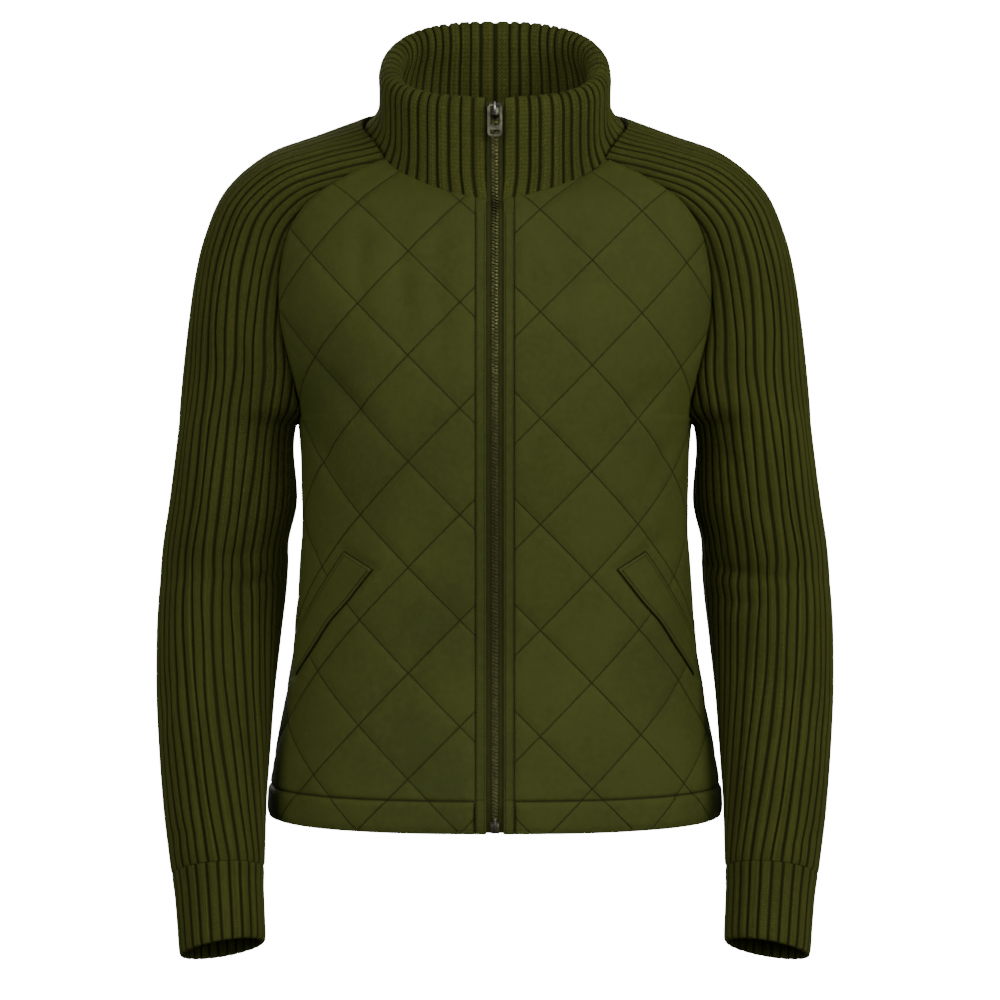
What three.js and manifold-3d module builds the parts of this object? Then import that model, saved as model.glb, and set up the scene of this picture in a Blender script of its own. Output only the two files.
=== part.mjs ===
import * as THREE from 'three';
import { mergeVertices } from 'three/addons/utils/BufferGeometryUtils.js';
import Module from 'manifold-3d';

// Quilted jacket with rib-knit sleeves, collar and cuffs, filled out as it hangs when worn.
// Millimetres, +Z up, the front faces -Y. The origin is the centre of the neck at shoulder height.
// +X is the wearer's left.

const wasm = await Module();
wasm.setup();

// Driving sizes
const SEAM_GAP = 0.3;
const PANEL_WALL = 2.4;
const KNIT_WALL = 2.6;
const RIB_PITCH = 8.4;
const RIB_HEIGHT = 1.6;
const QUILT_PUFF = 3.4;
const QUILT_WIDTH = 86;
const QUILT_HEIGHT = 87;
const SECTION_POWER = 2.3;
const HEM_LINE_Z = -566;
const HEM_BOTTOM_Z = -593;
const HEM_BULGE = 2.2;
const HEM_SIDE_LIFT = 9;
const STRIP_INNER_X = 7;
const STRIP_OUTER_X = 16.5;
const TAPE_INNER_X = 3.7;
const CHAIN_HALF_WIDTH = 3.4;
const SHORT_EDGE = 0.12;
const NEEDLE_HEIGHT = 0.02;
const NECK = { y: -10, halfWidth: 112, front: 90, back: 85 };
const UNDERARM_Z = -251;
const UNDER_SLEEVE_Z = -360;
const SIDE_CLEARANCE = 1;
const PRESSED_WIDTH = 16;
const PANEL_REACH = 262;
const GATHERED = 1.2;

// Limits of the cutters, well outside the jacket
const FAR = { x: 400, y: 300, topZ: 60, lowZ: -700 };

// Torso sections: drop is the distance below the shoulder neck point
const BODY = [
  { drop: -30, half: 196, front: 22, back: 34 },
  { drop: -9, half: 197, front: 36, back: 62 },
  { drop: -2, half: 197, front: 41, back: 75 },
  { drop: 15, half: 197, front: 51, back: 88 },
  { drop: 37, half: 198, front: 68, back: 97 },
  { drop: 72, half: 198, front: 100, back: 105 },
  { drop: 110, half: 198, front: 113, back: 110 },
  { drop: 160, half: 196, front: 122, back: 113 },
  { drop: 205, half: 184, front: 126, back: 112 },
  { drop: 250, half: 168, front: 126, back: 107 },
  { drop: 310, half: 164, front: 121, back: 97 },
  { drop: 371, half: 164, front: 115, back: 88 },
  { drop: 439, half: 170, front: 111, back: 88 },
  { drop: 490, half: 177, front: 112, back: 95 },
  { drop: 541, half: 186, front: 116, back: 105 },
  { drop: 575, half: 190, front: 119, back: 112 },
  { drop: 610, half: 190, front: 119, back: 114 },
];

// Raglan rows: front seam, shoulder line and back seam in the front view, and the ring's half angle
const RAGLAN = [
  { frontX: 82, frontZ: -28, topX: 94, topZ: 8, backX: 48, backZ: 12, spread: 74 },
  { frontX: 96, frontZ: -37, topX: 113, topZ: 1, backX: 62, backZ: 8, spread: 74 },
  { frontX: 124.5, frontZ: -51, topX: 150, topZ: -12, backX: 96, backZ: -12, spread: 78 },
  { frontX: 153, frontZ: -70, topX: 193, topZ: -28, backX: 130, backZ: -38, spread: 86 },
  { frontX: 171, frontZ: -95, topX: 226, topZ: -57, backX: 153, backZ: -72, spread: 98 },
  { frontX: 178.5, frontZ: -124, topX: 243, topZ: -94, backX: 165, backZ: -108, spread: 105 },
  { frontX: 180.5, frontZ: -150, topX: 252, topZ: -130, backX: 171, backZ: -142, spread: 109 },
  { frontX: 177, frontZ: -183, topX: 258, topZ: -170, backX: 171.5, backZ: -176, spread: 114 },
  { frontX: 169, frontZ: -215, topX: 263, topZ: -210, backX: 168, backZ: -211, spread: 119 },
  { frontX: 163.5, frontZ: -243, topX: 266, topZ: -244, backX: 163.5, backZ: -243, spread: 138 },
];

// Sleeve rings below the underarm: centre, half width, half depth, forward lean and the tilt that
// brings the outer side lower, in degrees
const SLEEVE = [
  { x: 218.5, y: 0, z: -256, width: 48, depth: 58, lean: 0, tilt: 0 },
  { x: 223, y: 5, z: -322, width: 52.4, depth: 58, lean: -2, tilt: 0 },
  { x: 229, y: 8, z: -354, width: 51.4, depth: 57, lean: 0, tilt: 0 },
  { x: 230.5, y: 10, z: -376, width: 52.2, depth: 57, lean: 5, tilt: 0 },
  { x: 231.4, y: 9, z: -392, width: 52.2, depth: 55.6, lean: 9, tilt: 0 },
  { x: 232.6, y: 5, z: -408, width: 52, depth: 55, lean: 14, tilt: 0 },
  { x: 234.5, y: -3, z: -436, width: 50.8, depth: 53, lean: 17, tilt: 0 },
  { x: 236, y: -23, z: -495, width: 47.4, depth: 48.6, lean: 18, tilt: 1 },
  { x: 234, y: -49, z: -572, width: 41.6, depth: 42, lean: 18, tilt: 3 },
  { x: 230, y: -68, z: -628, width: 37, depth: 38, lean: 18, tilt: 5.5 },
];

// Cuff rings in the same columns, from the sleeve seam to the opening
const CUFF = [
  { x: 229.9, y: -68.2, z: -628.5, width: 36.8, depth: 37.8, lean: 18, tilt: 5.5 },
  { x: 228.6, y: -73, z: -643, width: 35.4, depth: 36, lean: 18, tilt: 6.5 },
  { x: 226.5, y: -81, z: -666, width: 35, depth: 35.4, lean: 18, tilt: 8.5 },
  { x: 224.5, y: -89, z: -690, width: 34.6, depth: 35, lean: 18, tilt: 10.5 },
];

// Collar seam height round the neck, turn in degrees from the centre back to the centre front
const COLLAR_SEAM = [
  { turn: 0, z: -2 },
  { turn: 34, z: 3 },
  { turn: 55, z: 2 },
  { turn: 90, z: -4 },
  { turn: 121, z: -40 },
  { turn: 136, z: -55 },
  { turn: 149, z: -65 },
  { turn: 162, z: -72 },
  { turn: 180, z: -75 },
];

// Collar profile rows: reach is the share of the way from the seam ring to the rim ring in plan,
// rise the share in height, inset the distance in from the outer face, ribs the share of relief
const COLLAR_RIM = { y: -12, halfWidth: 96, depth: 83, power: 2.5, z: 47, tilt: 41 };
const COLLAR_PROFILE = [
  { reach: 0, rise: 0, inset: 0.6, ribs: 0 },
  { reach: 0.6, rise: 0.12, inset: 0.5, ribs: 1 },
  { reach: 0.95, rise: 0.3, inset: 0, ribs: 1 },
  { reach: 1, rise: 0.88, inset: -0.5, ribs: 1 },
  { reach: 1, rise: 1.02, inset: 3, ribs: 1 },
  { reach: 1, rise: 1.06, inset: 9, ribs: 1 },
  { reach: 1, rise: 0.98, inset: 15.5, ribs: 1 },
  { reach: 1, rise: 0.8, inset: 16.5, ribs: 0.8 },
  { reach: 0.95, rise: 0.34, inset: 8, ribs: 0 },
  { reach: 0.3, rise: 0.02, inset: 5, ribs: 0 },
];
const COLLAR_RIBS = 60;

// Cuff profile rows: the ring, the distance in from the outer face and the share of relief
const CUFF_PROFILE = [
  { ring: 0, inset: 0, ribs: 1 },
  { ring: 1, inset: 0, ribs: 1 },
  { ring: 3, inset: 0.6, ribs: 1 },
  { ring: 3, inset: 4.6, ribs: 0.6 },
  { ring: 2, inset: 4.2, ribs: 0 },
  { ring: 0, inset: 3.4, ribs: 0 },
];
const CUFF_RIBS = 25;

// Welt pockets in the front view: the opening edge and the side edge, from the top to the side seam
const POCKET = [
  { openX: 100, openZ: -377, sideX: 124, sideZ: -362 },
  { openX: 111, openZ: -391, sideX: 134, sideZ: -377 },
  { openX: 122, openZ: -405, sideX: 143, sideZ: -391 },
  { openX: 136, openZ: -421, sideX: 152, sideZ: -406 },
  { openX: 149, openZ: -441, sideX: 161, sideZ: -423 },
  { openX: 159, openZ: -456, sideX: 165, sideZ: -433 },
  { openX: 166, openZ: -467, sideX: 168.3, sideZ: -441 },
];
const POCKET_LIFT = 0.9;
const POCKET_THICKNESS = 2.2;
const POCKET_MARGIN = 26;

// Quilting: one crossing of the sewn lines on each panel, its length across and its height
const LATTICE = {
  left: { across: 37.2, z: -340 },
  right: { across: 28.6, z: -332 },
  back: { across: 0, z: -335 },
};

// Zip, from the retainer at the hem to the slider at the top of the chain
const SLIDER = { y: -95, z: 1.6, plateWidth: 9.4, plateThickness: 1.6, height: 11 };
const PLATE_FRONT_Y = SLIDER.y - 2.8;
const BAIL = { width: 2.4, reach: 5.6, wire: 1.4, topZ: 7.6, lowZ: -3.4 };
const PULL = { width: 12.4, length: 27, thickness: 1.8, bar: 1.8, side: 2.4, corner: 2 };
const PULL_PIVOT = { y: PLATE_FRONT_Y - 2.4, z: 4.4 };
const TAPE = { proud: -1.2, thickness: 1.2 };
const CHAIN = { proud: 0.6, thickness: 2.8, topZ: -4.4, lowZ: -579.4 };
const RETAINER = { width: 5.2, height: 11, depth: 3.8 };


// Small maths
const radians = THREE.MathUtils.degToRad;

// Cubic through the rows of a table, with slopes taken from the neighbouring rows
function smoothValue(table, by, key, at) {
  const last = table.length - 1;
  const place = THREE.MathUtils.clamp(at, table[0][by], table[last][by]);
  let row = 0;
  while (row < last - 1 && place > table[row + 1][by]) row += 1;
  const slope = (k) => {
    const before = table[Math.max(k - 1, 0)];
    const after = table[Math.min(k + 1, last)];
    return (after[key] - before[key]) / (after[by] - before[by]);
  };
  const span = table[row + 1][by] - table[row][by];
  const t = (place - table[row][by]) / span;
  const square = t * t;
  const cube = square * t;
  return (2 * cube - 3 * square + 1) * table[row][key]
    + (cube - 2 * square + t) * span * slope(row)
    + (3 * square - 2 * cube) * table[row + 1][key]
    + (cube - square) * span * slope(row + 1);
}

// Place at a length, in a list of places and their lengths
function lookUp(pairs, length) {
  let k = 1;
  while (k < pairs.length - 1 && pairs[k].length < length) k += 1;
  const low = pairs[k - 1];
  const high = pairs[k];
  const t = THREE.MathUtils.clamp((length - low.length) / (high.length - low.length), 0, 1);
  return low.place + t * (high.place - low.place);
}

// Torso surface
function depthAt(side, z) {
  return smoothValue(BODY, 'drop', side, -z);
}

function halfWidthAt(z) {
  return smoothValue(BODY, 'drop', 'half', -z);
}

function torsoY(side, x, z) {
  const share = Math.min(Math.abs(x) / halfWidthAt(z), 1);
  const y = depthAt(side, z) * (1 - share ** SECTION_POWER) ** (1 / SECTION_POWER);
  return side === 'front' ? -y : y;
}

// Point on a section at a turn from the centre, 0, to the side, 90 degrees
function sectionPoint(side, turn, z) {
  const x = halfWidthAt(z) * Math.sin(turn) ** (2 / SECTION_POWER);
  const y = depthAt(side, z) * Math.max(Math.cos(turn), 0) ** (2 / SECTION_POWER);
  return new THREE.Vector3(x, side === 'front' ? -y : y, z);
}

function sectionLengths(side, z) {
  const steps = 60;
  const pairs = [{ place: 0, length: 0 }];
  let before = sectionPoint(side, 0, z);
  for (let k = 1; k <= steps; k += 1) {
    const turn = (k / steps) * (Math.PI / 2);
    const point = sectionPoint(side, turn, z);
    pairs.push({ place: turn, length: pairs[k - 1].length + point.distanceTo(before) });
    before = point;
  }
  return pairs;
}

// Length down the centre line from the top of the body table
function centreLengths(side) {
  const pairs = [{ place: -BODY[0].drop, length: 0 }];
  const step = 2;
  for (let z = -BODY[0].drop - step; z >= -BODY[BODY.length - 1].drop; z -= step) {
    const change = depthAt(side, z) - depthAt(side, z + step);
    const { length } = pairs[pairs.length - 1];
    pairs.push({ place: z, length: length + Math.hypot(step, change) });
  }
  return pairs;
}

function lengthAtHeight(pairs, z) {
  let k = 1;
  while (k < pairs.length - 1 && pairs[k].place > z) k += 1;
  const low = pairs[k - 1];
  const high = pairs[k];
  return low.length + ((z - low.place) / (high.place - low.place)) * (high.length - low.length);
}

// Closed meshes
function toManifold(points, faces) {
  const flat = new Float32Array(points.flatMap((p) => [p.x, p.y, p.z]));
  const loose = new THREE.BufferGeometry();
  loose.setAttribute('position', new THREE.BufferAttribute(flat, 3));
  loose.setIndex(faces.flat());
  const merged = mergeVertices(loose, 1e-3);
  const index = merged.index.array;
  const place = merged.attributes.position;
  const kept = [];
  let volume = 0;
  for (let k = 0; k < index.length; k += 3) {
    const [a, b, c] = [index[k], index[k + 1], index[k + 2]];
    if (a === b || b === c || a === c) continue;
    kept.push(a, b, c);
    const pa = new THREE.Vector3().fromBufferAttribute(place, a);
    const pb = new THREE.Vector3().fromBufferAttribute(place, b);
    const pc = new THREE.Vector3().fromBufferAttribute(place, c);
    volume += pa.dot(pb.cross(pc));
  }
  if (volume < 0) kept.reverse();
  const mesh = new wasm.Mesh({
    numProp: 3,
    vertProperties: new Float32Array(place.array),
    triVerts: new Uint32Array(kept),
  });
  return new wasm.Manifold(mesh);
}

function largestPiece(solid) {
  const parts = solid.decompose();
  return parts.reduce((best, part) => (part.volume() > best.volume() ? part : best));
}

// Mesh of a finished piece, with the slivers left along cut edges closed up
function toGeometry(solid) {
  const mesh = solid.getMesh();
  const places = new Float32Array(mesh.numVert * 3);
  for (let k = 0; k < mesh.numVert; k += 1) {
    for (let axis = 0; axis < 3; axis += 1) {
      places[3 * k + axis] = mesh.vertProperties[k * mesh.numProp + axis];
    }
  }
  const triangles = Array.from(mesh.triVerts);
  closeShortEdges(places, triangles);
  turnNeedles(places, triangles);
  const geometry = new THREE.BufferGeometry();
  geometry.setAttribute('position', new THREE.BufferAttribute(places, 3));
  geometry.setIndex(triangles);
  return mergeVertices(geometry, 1e-5);
}

// Moves both ends of every very short edge to one place and drops the faces that collapse
function closeShortEdges(places, triangles) {
  const cornerOf = (k) => new THREE.Vector3().fromArray(places, 3 * k);
  for (let k = 0; k < triangles.length; k += 3) {
    for (let side = 0; side < 3; side += 1) {
      const a = triangles[k + side];
      const b = triangles[k + ((side + 1) % 3)];
      if (a === b || cornerOf(a).distanceTo(cornerOf(b)) > SHORT_EDGE) continue;
      for (let n = 0; n < triangles.length; n += 1) {
        if (triangles[n] === b) triangles[n] = a;
      }
    }
  }
  for (let k = triangles.length - 3; k >= 0; k -= 3) {
    const [a, b, c] = triangles.slice(k, k + 3);
    if (a === b || b === c || a === c) triangles.splice(k, 3);
  }
}

// Turns the long edge of every needle of a face towards the next face
function turnNeedles(places, triangles) {
  const cornerOf = (k) => new THREE.Vector3().fromArray(places, 3 * k);
  const faceOfEdge = new Map();
  const register = (k) => {
    for (let side = 0; side < 3; side += 1) {
      faceOfEdge.set(`${triangles[k + side]}_${triangles[k + ((side + 1) % 3)]}`, k);
    }
  };
  for (let k = 0; k < triangles.length; k += 3) register(k);
  for (let k = 0; k < triangles.length; k += 3) {
    const lengths = [0, 1, 2].map((side) => (
      cornerOf(triangles[k + side]).distanceTo(cornerOf(triangles[k + ((side + 1) % 3)]))));
    const side = lengths.indexOf(Math.max(...lengths));
    const [a, b, c] = [0, 1, 2].map((step) => triangles[k + ((side + step) % 3)]);
    const area = cornerOf(b).sub(cornerOf(a)).cross(cornerOf(c).sub(cornerOf(a))).length();
    if (area / lengths[side] > NEEDLE_HEIGHT) continue;
    const next = faceOfEdge.get(`${b}_${a}`);
    const d = [0, 1, 2].map((step) => triangles[next + step]).find((v) => v !== a && v !== b);
    if (faceOfEdge.has(`${c}_${d}`) || faceOfEdge.has(`${d}_${c}`)) continue;
    faceOfEdge.delete(`${a}_${b}`);
    faceOfEdge.delete(`${b}_${a}`);
    [a, d, c].forEach((v, step) => { triangles[k + step] = v; });
    [d, b, c].forEach((v, step) => { triangles[next + step] = v; });
    register(k);
    register(next);
  }
}

function fromGeometry(source) {
  const geometry = source.index ? source.clone() : source;
  geometry.deleteAttribute('normal');
  geometry.deleteAttribute('uv');
  const merged = mergeVertices(geometry, 1e-3);
  const place = merged.attributes.position;
  const points = [];
  for (let k = 0; k < place.count; k += 1) {
    points.push(new THREE.Vector3().fromBufferAttribute(place, k));
  }
  const index = merged.index.array;
  const faces = [];
  for (let k = 0; k < index.length; k += 3) faces.push([index[k], index[k + 1], index[k + 2]]);
  return toManifold(points, faces);
}

// Normals of a grid of points, rows by columns; closed says which way wraps round
function gridNormals(grid, closed = {}) {
  const rows = grid.length;
  const columns = grid[0].length;
  const at = (i, j) => {
    const row = closed.rows ? (i + rows) % rows : THREE.MathUtils.clamp(i, 0, rows - 1);
    const column = closed.columns
      ? (j + columns) % columns : THREE.MathUtils.clamp(j, 0, columns - 1);
    return grid[row][column];
  };
  return grid.map((row, i) => row.map((_, j) => {
    let reach = 1;
    const along = new THREE.Vector3();
    const across = new THREE.Vector3();
    while (across.lengthSq() < 1e-6 && reach < columns) {
      across.subVectors(at(i, j + reach), at(i, j - reach));
      reach += 1;
    }
    along.subVectors(at(i + 1, j), at(i - 1, j));
    return across.cross(along).normalize();
  }));
}

function moved(grid, normals, height) {
  return grid.map((row, i) => row.map((point, j) => (
    point.clone().addScaledVector(normals[i][j], height(i, j)))));
}

// Faces between two loops or lines of points with different counts
function bridge(first, second, points, faces) {
  let a = 0;
  let b = 0;
  while (a < first.length - 1 || b < second.length - 1) {
    const stepFirst = a < first.length - 1
      ? points[first[a + 1]].distanceTo(points[second[b]]) : Infinity;
    const stepSecond = b < second.length - 1
      ? points[second[b + 1]].distanceTo(points[first[a]]) : Infinity;
    if (stepFirst < stepSecond) {
      faces.push([first[a], first[a + 1], second[b]]);
      a += 1;
    } else {
      faces.push([first[a], second[b + 1], second[b]]);
      b += 1;
    }
  }
}

// Adds a grid and its faces; low gives the height that picks each cell's diagonal
function addGrid(points, faces, grid, { flip = false, closed = {}, low = null } = {}) {
  const start = points.length;
  const rows = grid.length;
  const columns = grid[0].length;
  grid.forEach((row) => points.push(...row));
  const id = (i, j) => start + (i % rows) * columns + (j % columns);
  for (let i = 0; i < (closed.rows ? rows : rows - 1); i += 1) {
    for (let j = 0; j < (closed.columns ? columns : columns - 1); j += 1) {
      const [a, b, c, d] = [id(i, j), id(i, j + 1), id(i + 1, j + 1), id(i + 1, j)];
      const other = low && low(i, j) + low(i + 1, j + 1) > low(i, j + 1) + low(i + 1, j);
      const pair = other ? [[a, b, d], [b, c, d]] : [[a, b, c], [a, c, d]];
      pair.forEach((face) => faces.push(flip ? face.reverse() : face));
    }
  }
  return id;
}

// A wall between an outer grid and a sparser inner one, closed round its four edges
function wall(outer, inner, low) {
  const points = [];
  const faces = [];
  const outerId = addGrid(points, faces, outer, { low });
  const innerId = addGrid(points, faces, inner, { flip: true });
  const lineOf = (id, grid, edge) => {
    const lastRow = grid.length - 1;
    const lastColumn = grid[0].length - 1;
    const columns = [...Array(lastColumn + 1).keys()];
    const rows = [...Array(lastRow + 1).keys()];
    if (edge === 'top') return columns.map((j) => id(0, j));
    if (edge === 'bottom') return columns.map((j) => id(lastRow, j)).reverse();
    if (edge === 'start') return rows.map((i) => id(i, 0)).reverse();
    return rows.map((i) => id(i, lastColumn));
  };
  ['top', 'end', 'bottom', 'start'].forEach((edge) => {
    bridge(lineOf(innerId, inner, edge), lineOf(outerId, outer, edge), points, faces);
  });
  return toManifold(points, faces);
}

// Cutters
function prismAlongY(outline, fromY, toY) {
  const shape = new THREE.Shape(outline.map(([x, z]) => new THREE.Vector2(x, z)));
  const geometry = new THREE.ExtrudeGeometry(shape, { depth: toY - fromY, bevelEnabled: false });
  geometry.rotateX(Math.PI / 2);
  geometry.translate(0, toY, 0);
  return fromGeometry(geometry);
}

function neckPrism(grow) {
  const outline = [];
  const steps = 72;
  for (let k = 0; k < steps; k += 1) {
    const turn = (k / steps) * 2 * Math.PI;
    const reach = Math.cos(turn) > 0 ? NECK.back : NECK.front;
    outline.push(new THREE.Vector2(
      (NECK.halfWidth + grow) * Math.sin(turn),
      NECK.y + (reach + grow) * Math.cos(turn),
    ));
  }
  const geometry = new THREE.ExtrudeGeometry(new THREE.Shape(outline), {
    depth: FAR.x, bevelEnabled: false,
  });
  geometry.translate(0, 0, -FAR.x / 2);
  return fromGeometry(geometry);
}

// The panel's side of the raglan seam in the front view, moved sideways by shift
function raglanOutline(side, shift) {
  const line = [side === 'front' ? [60 + shift, 0] : [38 + shift, 16]];
  const steps = 4;
  const rows = RAGLAN.slice(1).map((row, k) => ({ k, x: row[`${side}X`], z: row[`${side}Z`] }));
  for (let k = 0; k <= (rows.length - 1) * steps; k += 1) {
    line.push([
      smoothValue(rows, 'k', 'x', k / steps) + shift,
      smoothValue(rows, 'k', 'z', k / steps),
    ]);
  }
  line.push([163 + shift, UNDERARM_Z + shift]);
  return line;
}

function panelRegion(side) {
  const shift = -SEAM_GAP / 2;
  const line = raglanOutline(side, shift);
  const low = [[FAR.x, UNDERARM_Z + shift], [FAR.x, FAR.lowZ], [-FAR.x, FAR.lowZ]];
  return [[-FAR.x, 0], ...line, ...low];
}

// Everything on the torso's side of the sleeve, past the underarm just outside the torso's side
function sleeveCutRegion(side) {
  const shift = SEAM_GAP / 2;
  const below = [];
  for (let z = UNDERARM_Z + shift; z > UNDER_SLEEVE_Z - 40; z -= 12) {
    below.push([halfWidthAt(z) + SIDE_CLEARANCE, z]);
  }
  const top = side === 'back' ? [[-FAR.x, FAR.topZ], [30, FAR.topZ]] : [[-FAR.x, 0]];
  return [...top, ...raglanOutline(side, shift), ...below, [-FAR.x, UNDER_SLEEVE_Z - 40]];
}

// Quilting relief: low pads between crossing stitched lines
function quiltPuff(lattice, across, down, downStart) {
  const a = (across - lattice.across) / QUILT_WIDTH;
  const b = (down - downStart) / QUILT_HEIGHT;
  return QUILT_PUFF * Math.abs(Math.sin(Math.PI * (a + b)) * Math.sin(Math.PI * (a - b)));
}

// Share of the quilting relief left beside a pocket welt, none under it
function clearOfPocket(x, z, margin) {
  if (z > POCKET[0].sideZ + margin || z < POCKET[POCKET.length - 1].openZ - margin) return 1;
  const open = smoothValue([...POCKET].reverse(), 'openZ', 'openX', z);
  const side = smoothValue([...POCKET].reverse(), 'sideZ', 'sideX', z);
  return x > open - margin && x < side + margin ? 0 : 1;
}

function range(from, to, step) {
  const list = [];
  for (let value = from; value < to; value += step) list.push(value);
  return list;
}

// Panels of the body
function panel(side, lattice, startX) {
  const centre = centreLengths(side);
  const downStart = lengthAtHeight(centre, lattice.z);
  const topZ = side === 'front' ? -18 : 14;
  const rowStep = QUILT_HEIGHT / 4;
  const topDown = lengthAtHeight(centre, topZ);
  const hemDown = lengthAtHeight(centre, HEM_LINE_Z);
  const firstRow = downStart + Math.ceil((topDown - downStart) / rowStep) * rowStep;
  const quilted = range(firstRow, hemDown - rowStep / 3, rowStep);
  const hemRows = [
    { z: HEM_LINE_Z, lift: 0 },
    { z: HEM_LINE_Z - 5, lift: HEM_BULGE },
    { z: HEM_BOTTOM_Z + 4, lift: HEM_BULGE },
    { z: HEM_BOTTOM_Z, lift: 0.8 },
  ];
  const rows = [
    ...quilted.map((down) => ({ down, z: lookUp(centre, down), lift: null })),
    ...hemRows.map((row) => ({ ...row, down: lengthAtHeight(centre, row.z) })),
  ];
  const columnStep = QUILT_WIDTH / 4;
  const whole = startX === null;
  const firstColumn = lattice.across + Math.ceil((startX + 5 - lattice.across) / columnStep)
    * columnStep;
  const right = range(whole ? 0 : firstColumn, PANEL_REACH, columnStep);
  const columns = whole
    ? [...right.slice(1).reverse().map((s) => -s), ...right] : [startX, ...right];
  const build = (rowList, columnList) => rowList.map((row) => {
    const lengths = sectionLengths(side, row.z);
    const full = lengths[lengths.length - 1].length;
    return columnList.map((s) => {
      const reach = Math.min(Math.abs(s), full);
      const lifted = row.z + HEM_SIDE_LIFT * (reach / full) ** 3
        * THREE.MathUtils.smoothstep(-row.z, 480, -HEM_BOTTOM_Z);
      const point = sectionPoint(side, lookUp(lengths, reach), row.z);
      return new THREE.Vector3(Math.sign(s || 1) * point.x, point.y, lifted);
    });
  });
  const base = build(rows, columns);
  const normals = gridNormals(base);
  const outwards = side === 'front' ? -1 : 1;
  const middle = normals[Math.floor(rows.length / 2)][Math.floor(columns.length / 2)];
  const turn = Math.sign(middle.y) === outwards ? 1 : -1;
  const relief = (i, j) => {
    const row = rows[i];
    const point = base[i][j];
    const lengthAcross = Math.abs(columns[j]);
    if (row.lift !== null) return row.lift;
    const beside = point.z > UNDER_SLEEVE_Z ? PRESSED_WIDTH : 1;
    const full = halfWidthAt(row.z) - Math.abs(point.x) < beside ? 0 : 1;
    const free = side === 'front' ? clearOfPocket(point.x, point.z, POCKET_MARGIN) : 1;
    const strip = !whole && j === 0 ? 0 : 1;
    return quiltPuff(lattice, lengthAcross, row.down, downStart) * full * free * strip;
  };
  const outer = moved(base, normals, (i, j) => turn * relief(i, j));
  const sparse = (list) => list.filter((_, k) => k % 2 === 0 || k === list.length - 1);
  const innerBase = build(sparse(rows), sparse(columns));
  const inner = moved(innerBase, gridNormals(innerBase), () => -turn * PANEL_WALL);
  const blank = wall(outer, inner, relief);
  const region = side === 'front'
    ? prismAlongY(panelRegion('front'), -FAR.y, -SEAM_GAP / 2) : backRegion();
  return largestPiece(blank.intersect(region).subtract(neckPrism(SEAM_GAP / 2)));
}

// The back is cut by the back raglan seam on both sides
function backRegion() {
  const right = raglanOutline('back', -SEAM_GAP / 2);
  const low = UNDERARM_Z - SEAM_GAP / 2;
  const half = [[right[0][0], FAR.topZ], ...right.slice(1), [FAR.x, low], [FAR.x, FAR.lowZ]];
  const outline = [[0, FAR.topZ], ...half, ...half.map(([x, z]) => [-x, z]).reverse()];
  return prismAlongY(outline, SEAM_GAP / 2, FAR.y);
}

// Sleeve rings
function capRing(row) {
  const front = new THREE.Vector3(row.frontX, torsoY('front', row.frontX, row.frontZ), row.frontZ);
  const back = new THREE.Vector3(row.backX, torsoY('back', row.backX, row.backZ), row.backZ);
  const top = new THREE.Vector3(row.topX, 0, row.topZ);
  const spread = radians(row.spread);
  const middle = front.clone().add(back).multiplyScalar(0.5);
  const outward = top.clone().sub(middle).divideScalar(1 - Math.cos(spread));
  const forward = front.clone().sub(back).divideScalar(2 * Math.sin(spread));
  return { centre: top.clone().sub(outward), outward, forward };
}

function freeRing(row) {
  const lean = radians(row.lean);
  const tilt = radians(row.tilt);
  return {
    centre: new THREE.Vector3(row.x, row.y, row.z),
    outward: new THREE.Vector3(row.width * Math.cos(tilt), 0, -row.width * Math.sin(tilt)),
    forward: new THREE.Vector3(0, -row.depth * Math.cos(lean), row.depth * Math.sin(lean)),
  };
}

function ringPoint(ring, turn) {
  return ring.centre.clone()
    .addScaledVector(ring.outward, Math.cos(turn))
    .addScaledVector(ring.forward, Math.sin(turn));
}

function ringLengths(ring, sign) {
  const steps = 90;
  const pairs = [{ place: 0, length: 0 }];
  let before = ringPoint(ring, 0);
  for (let k = 1; k <= steps; k += 1) {
    const turn = (k / steps) * Math.PI;
    const point = ringPoint(ring, sign * turn);
    pairs.push({ place: turn, length: pairs[k - 1].length + point.distanceTo(before) });
    before = point;
  }
  return pairs;
}

// Rows of points at even lengths from the shoulder line, gathered at the underarm where short
function ribRows(rings, halfColumns, step) {
  return rings.map((ring) => {
    const tables = { 1: ringLengths(ring, 1), '-1': ringLengths(ring, -1) };
    const row = [];
    for (let j = -halfColumns; j <= halfColumns; j += 1) {
      const sign = j < 0 ? -1 : 1;
      const pairs = tables[sign];
      const full = pairs[pairs.length - 1].length;
      const length = Math.abs(j) * step;
      const close = length > full - GATHERED || Math.abs(j) === halfColumns;
      row.push(ringPoint(ring, close ? Math.PI : sign * lookUp(pairs, length)));
    }
    return row;
  });
}

function outwardNormals(grid, rings) {
  const normals = gridNormals(grid);
  return normals.map((row, i) => row.map((normal, j) => {
    const away = grid[i][j].clone().sub(rings[i].centre);
    return normal.dot(away) < 0 ? normal.negate() : normal;
  }));
}

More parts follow.
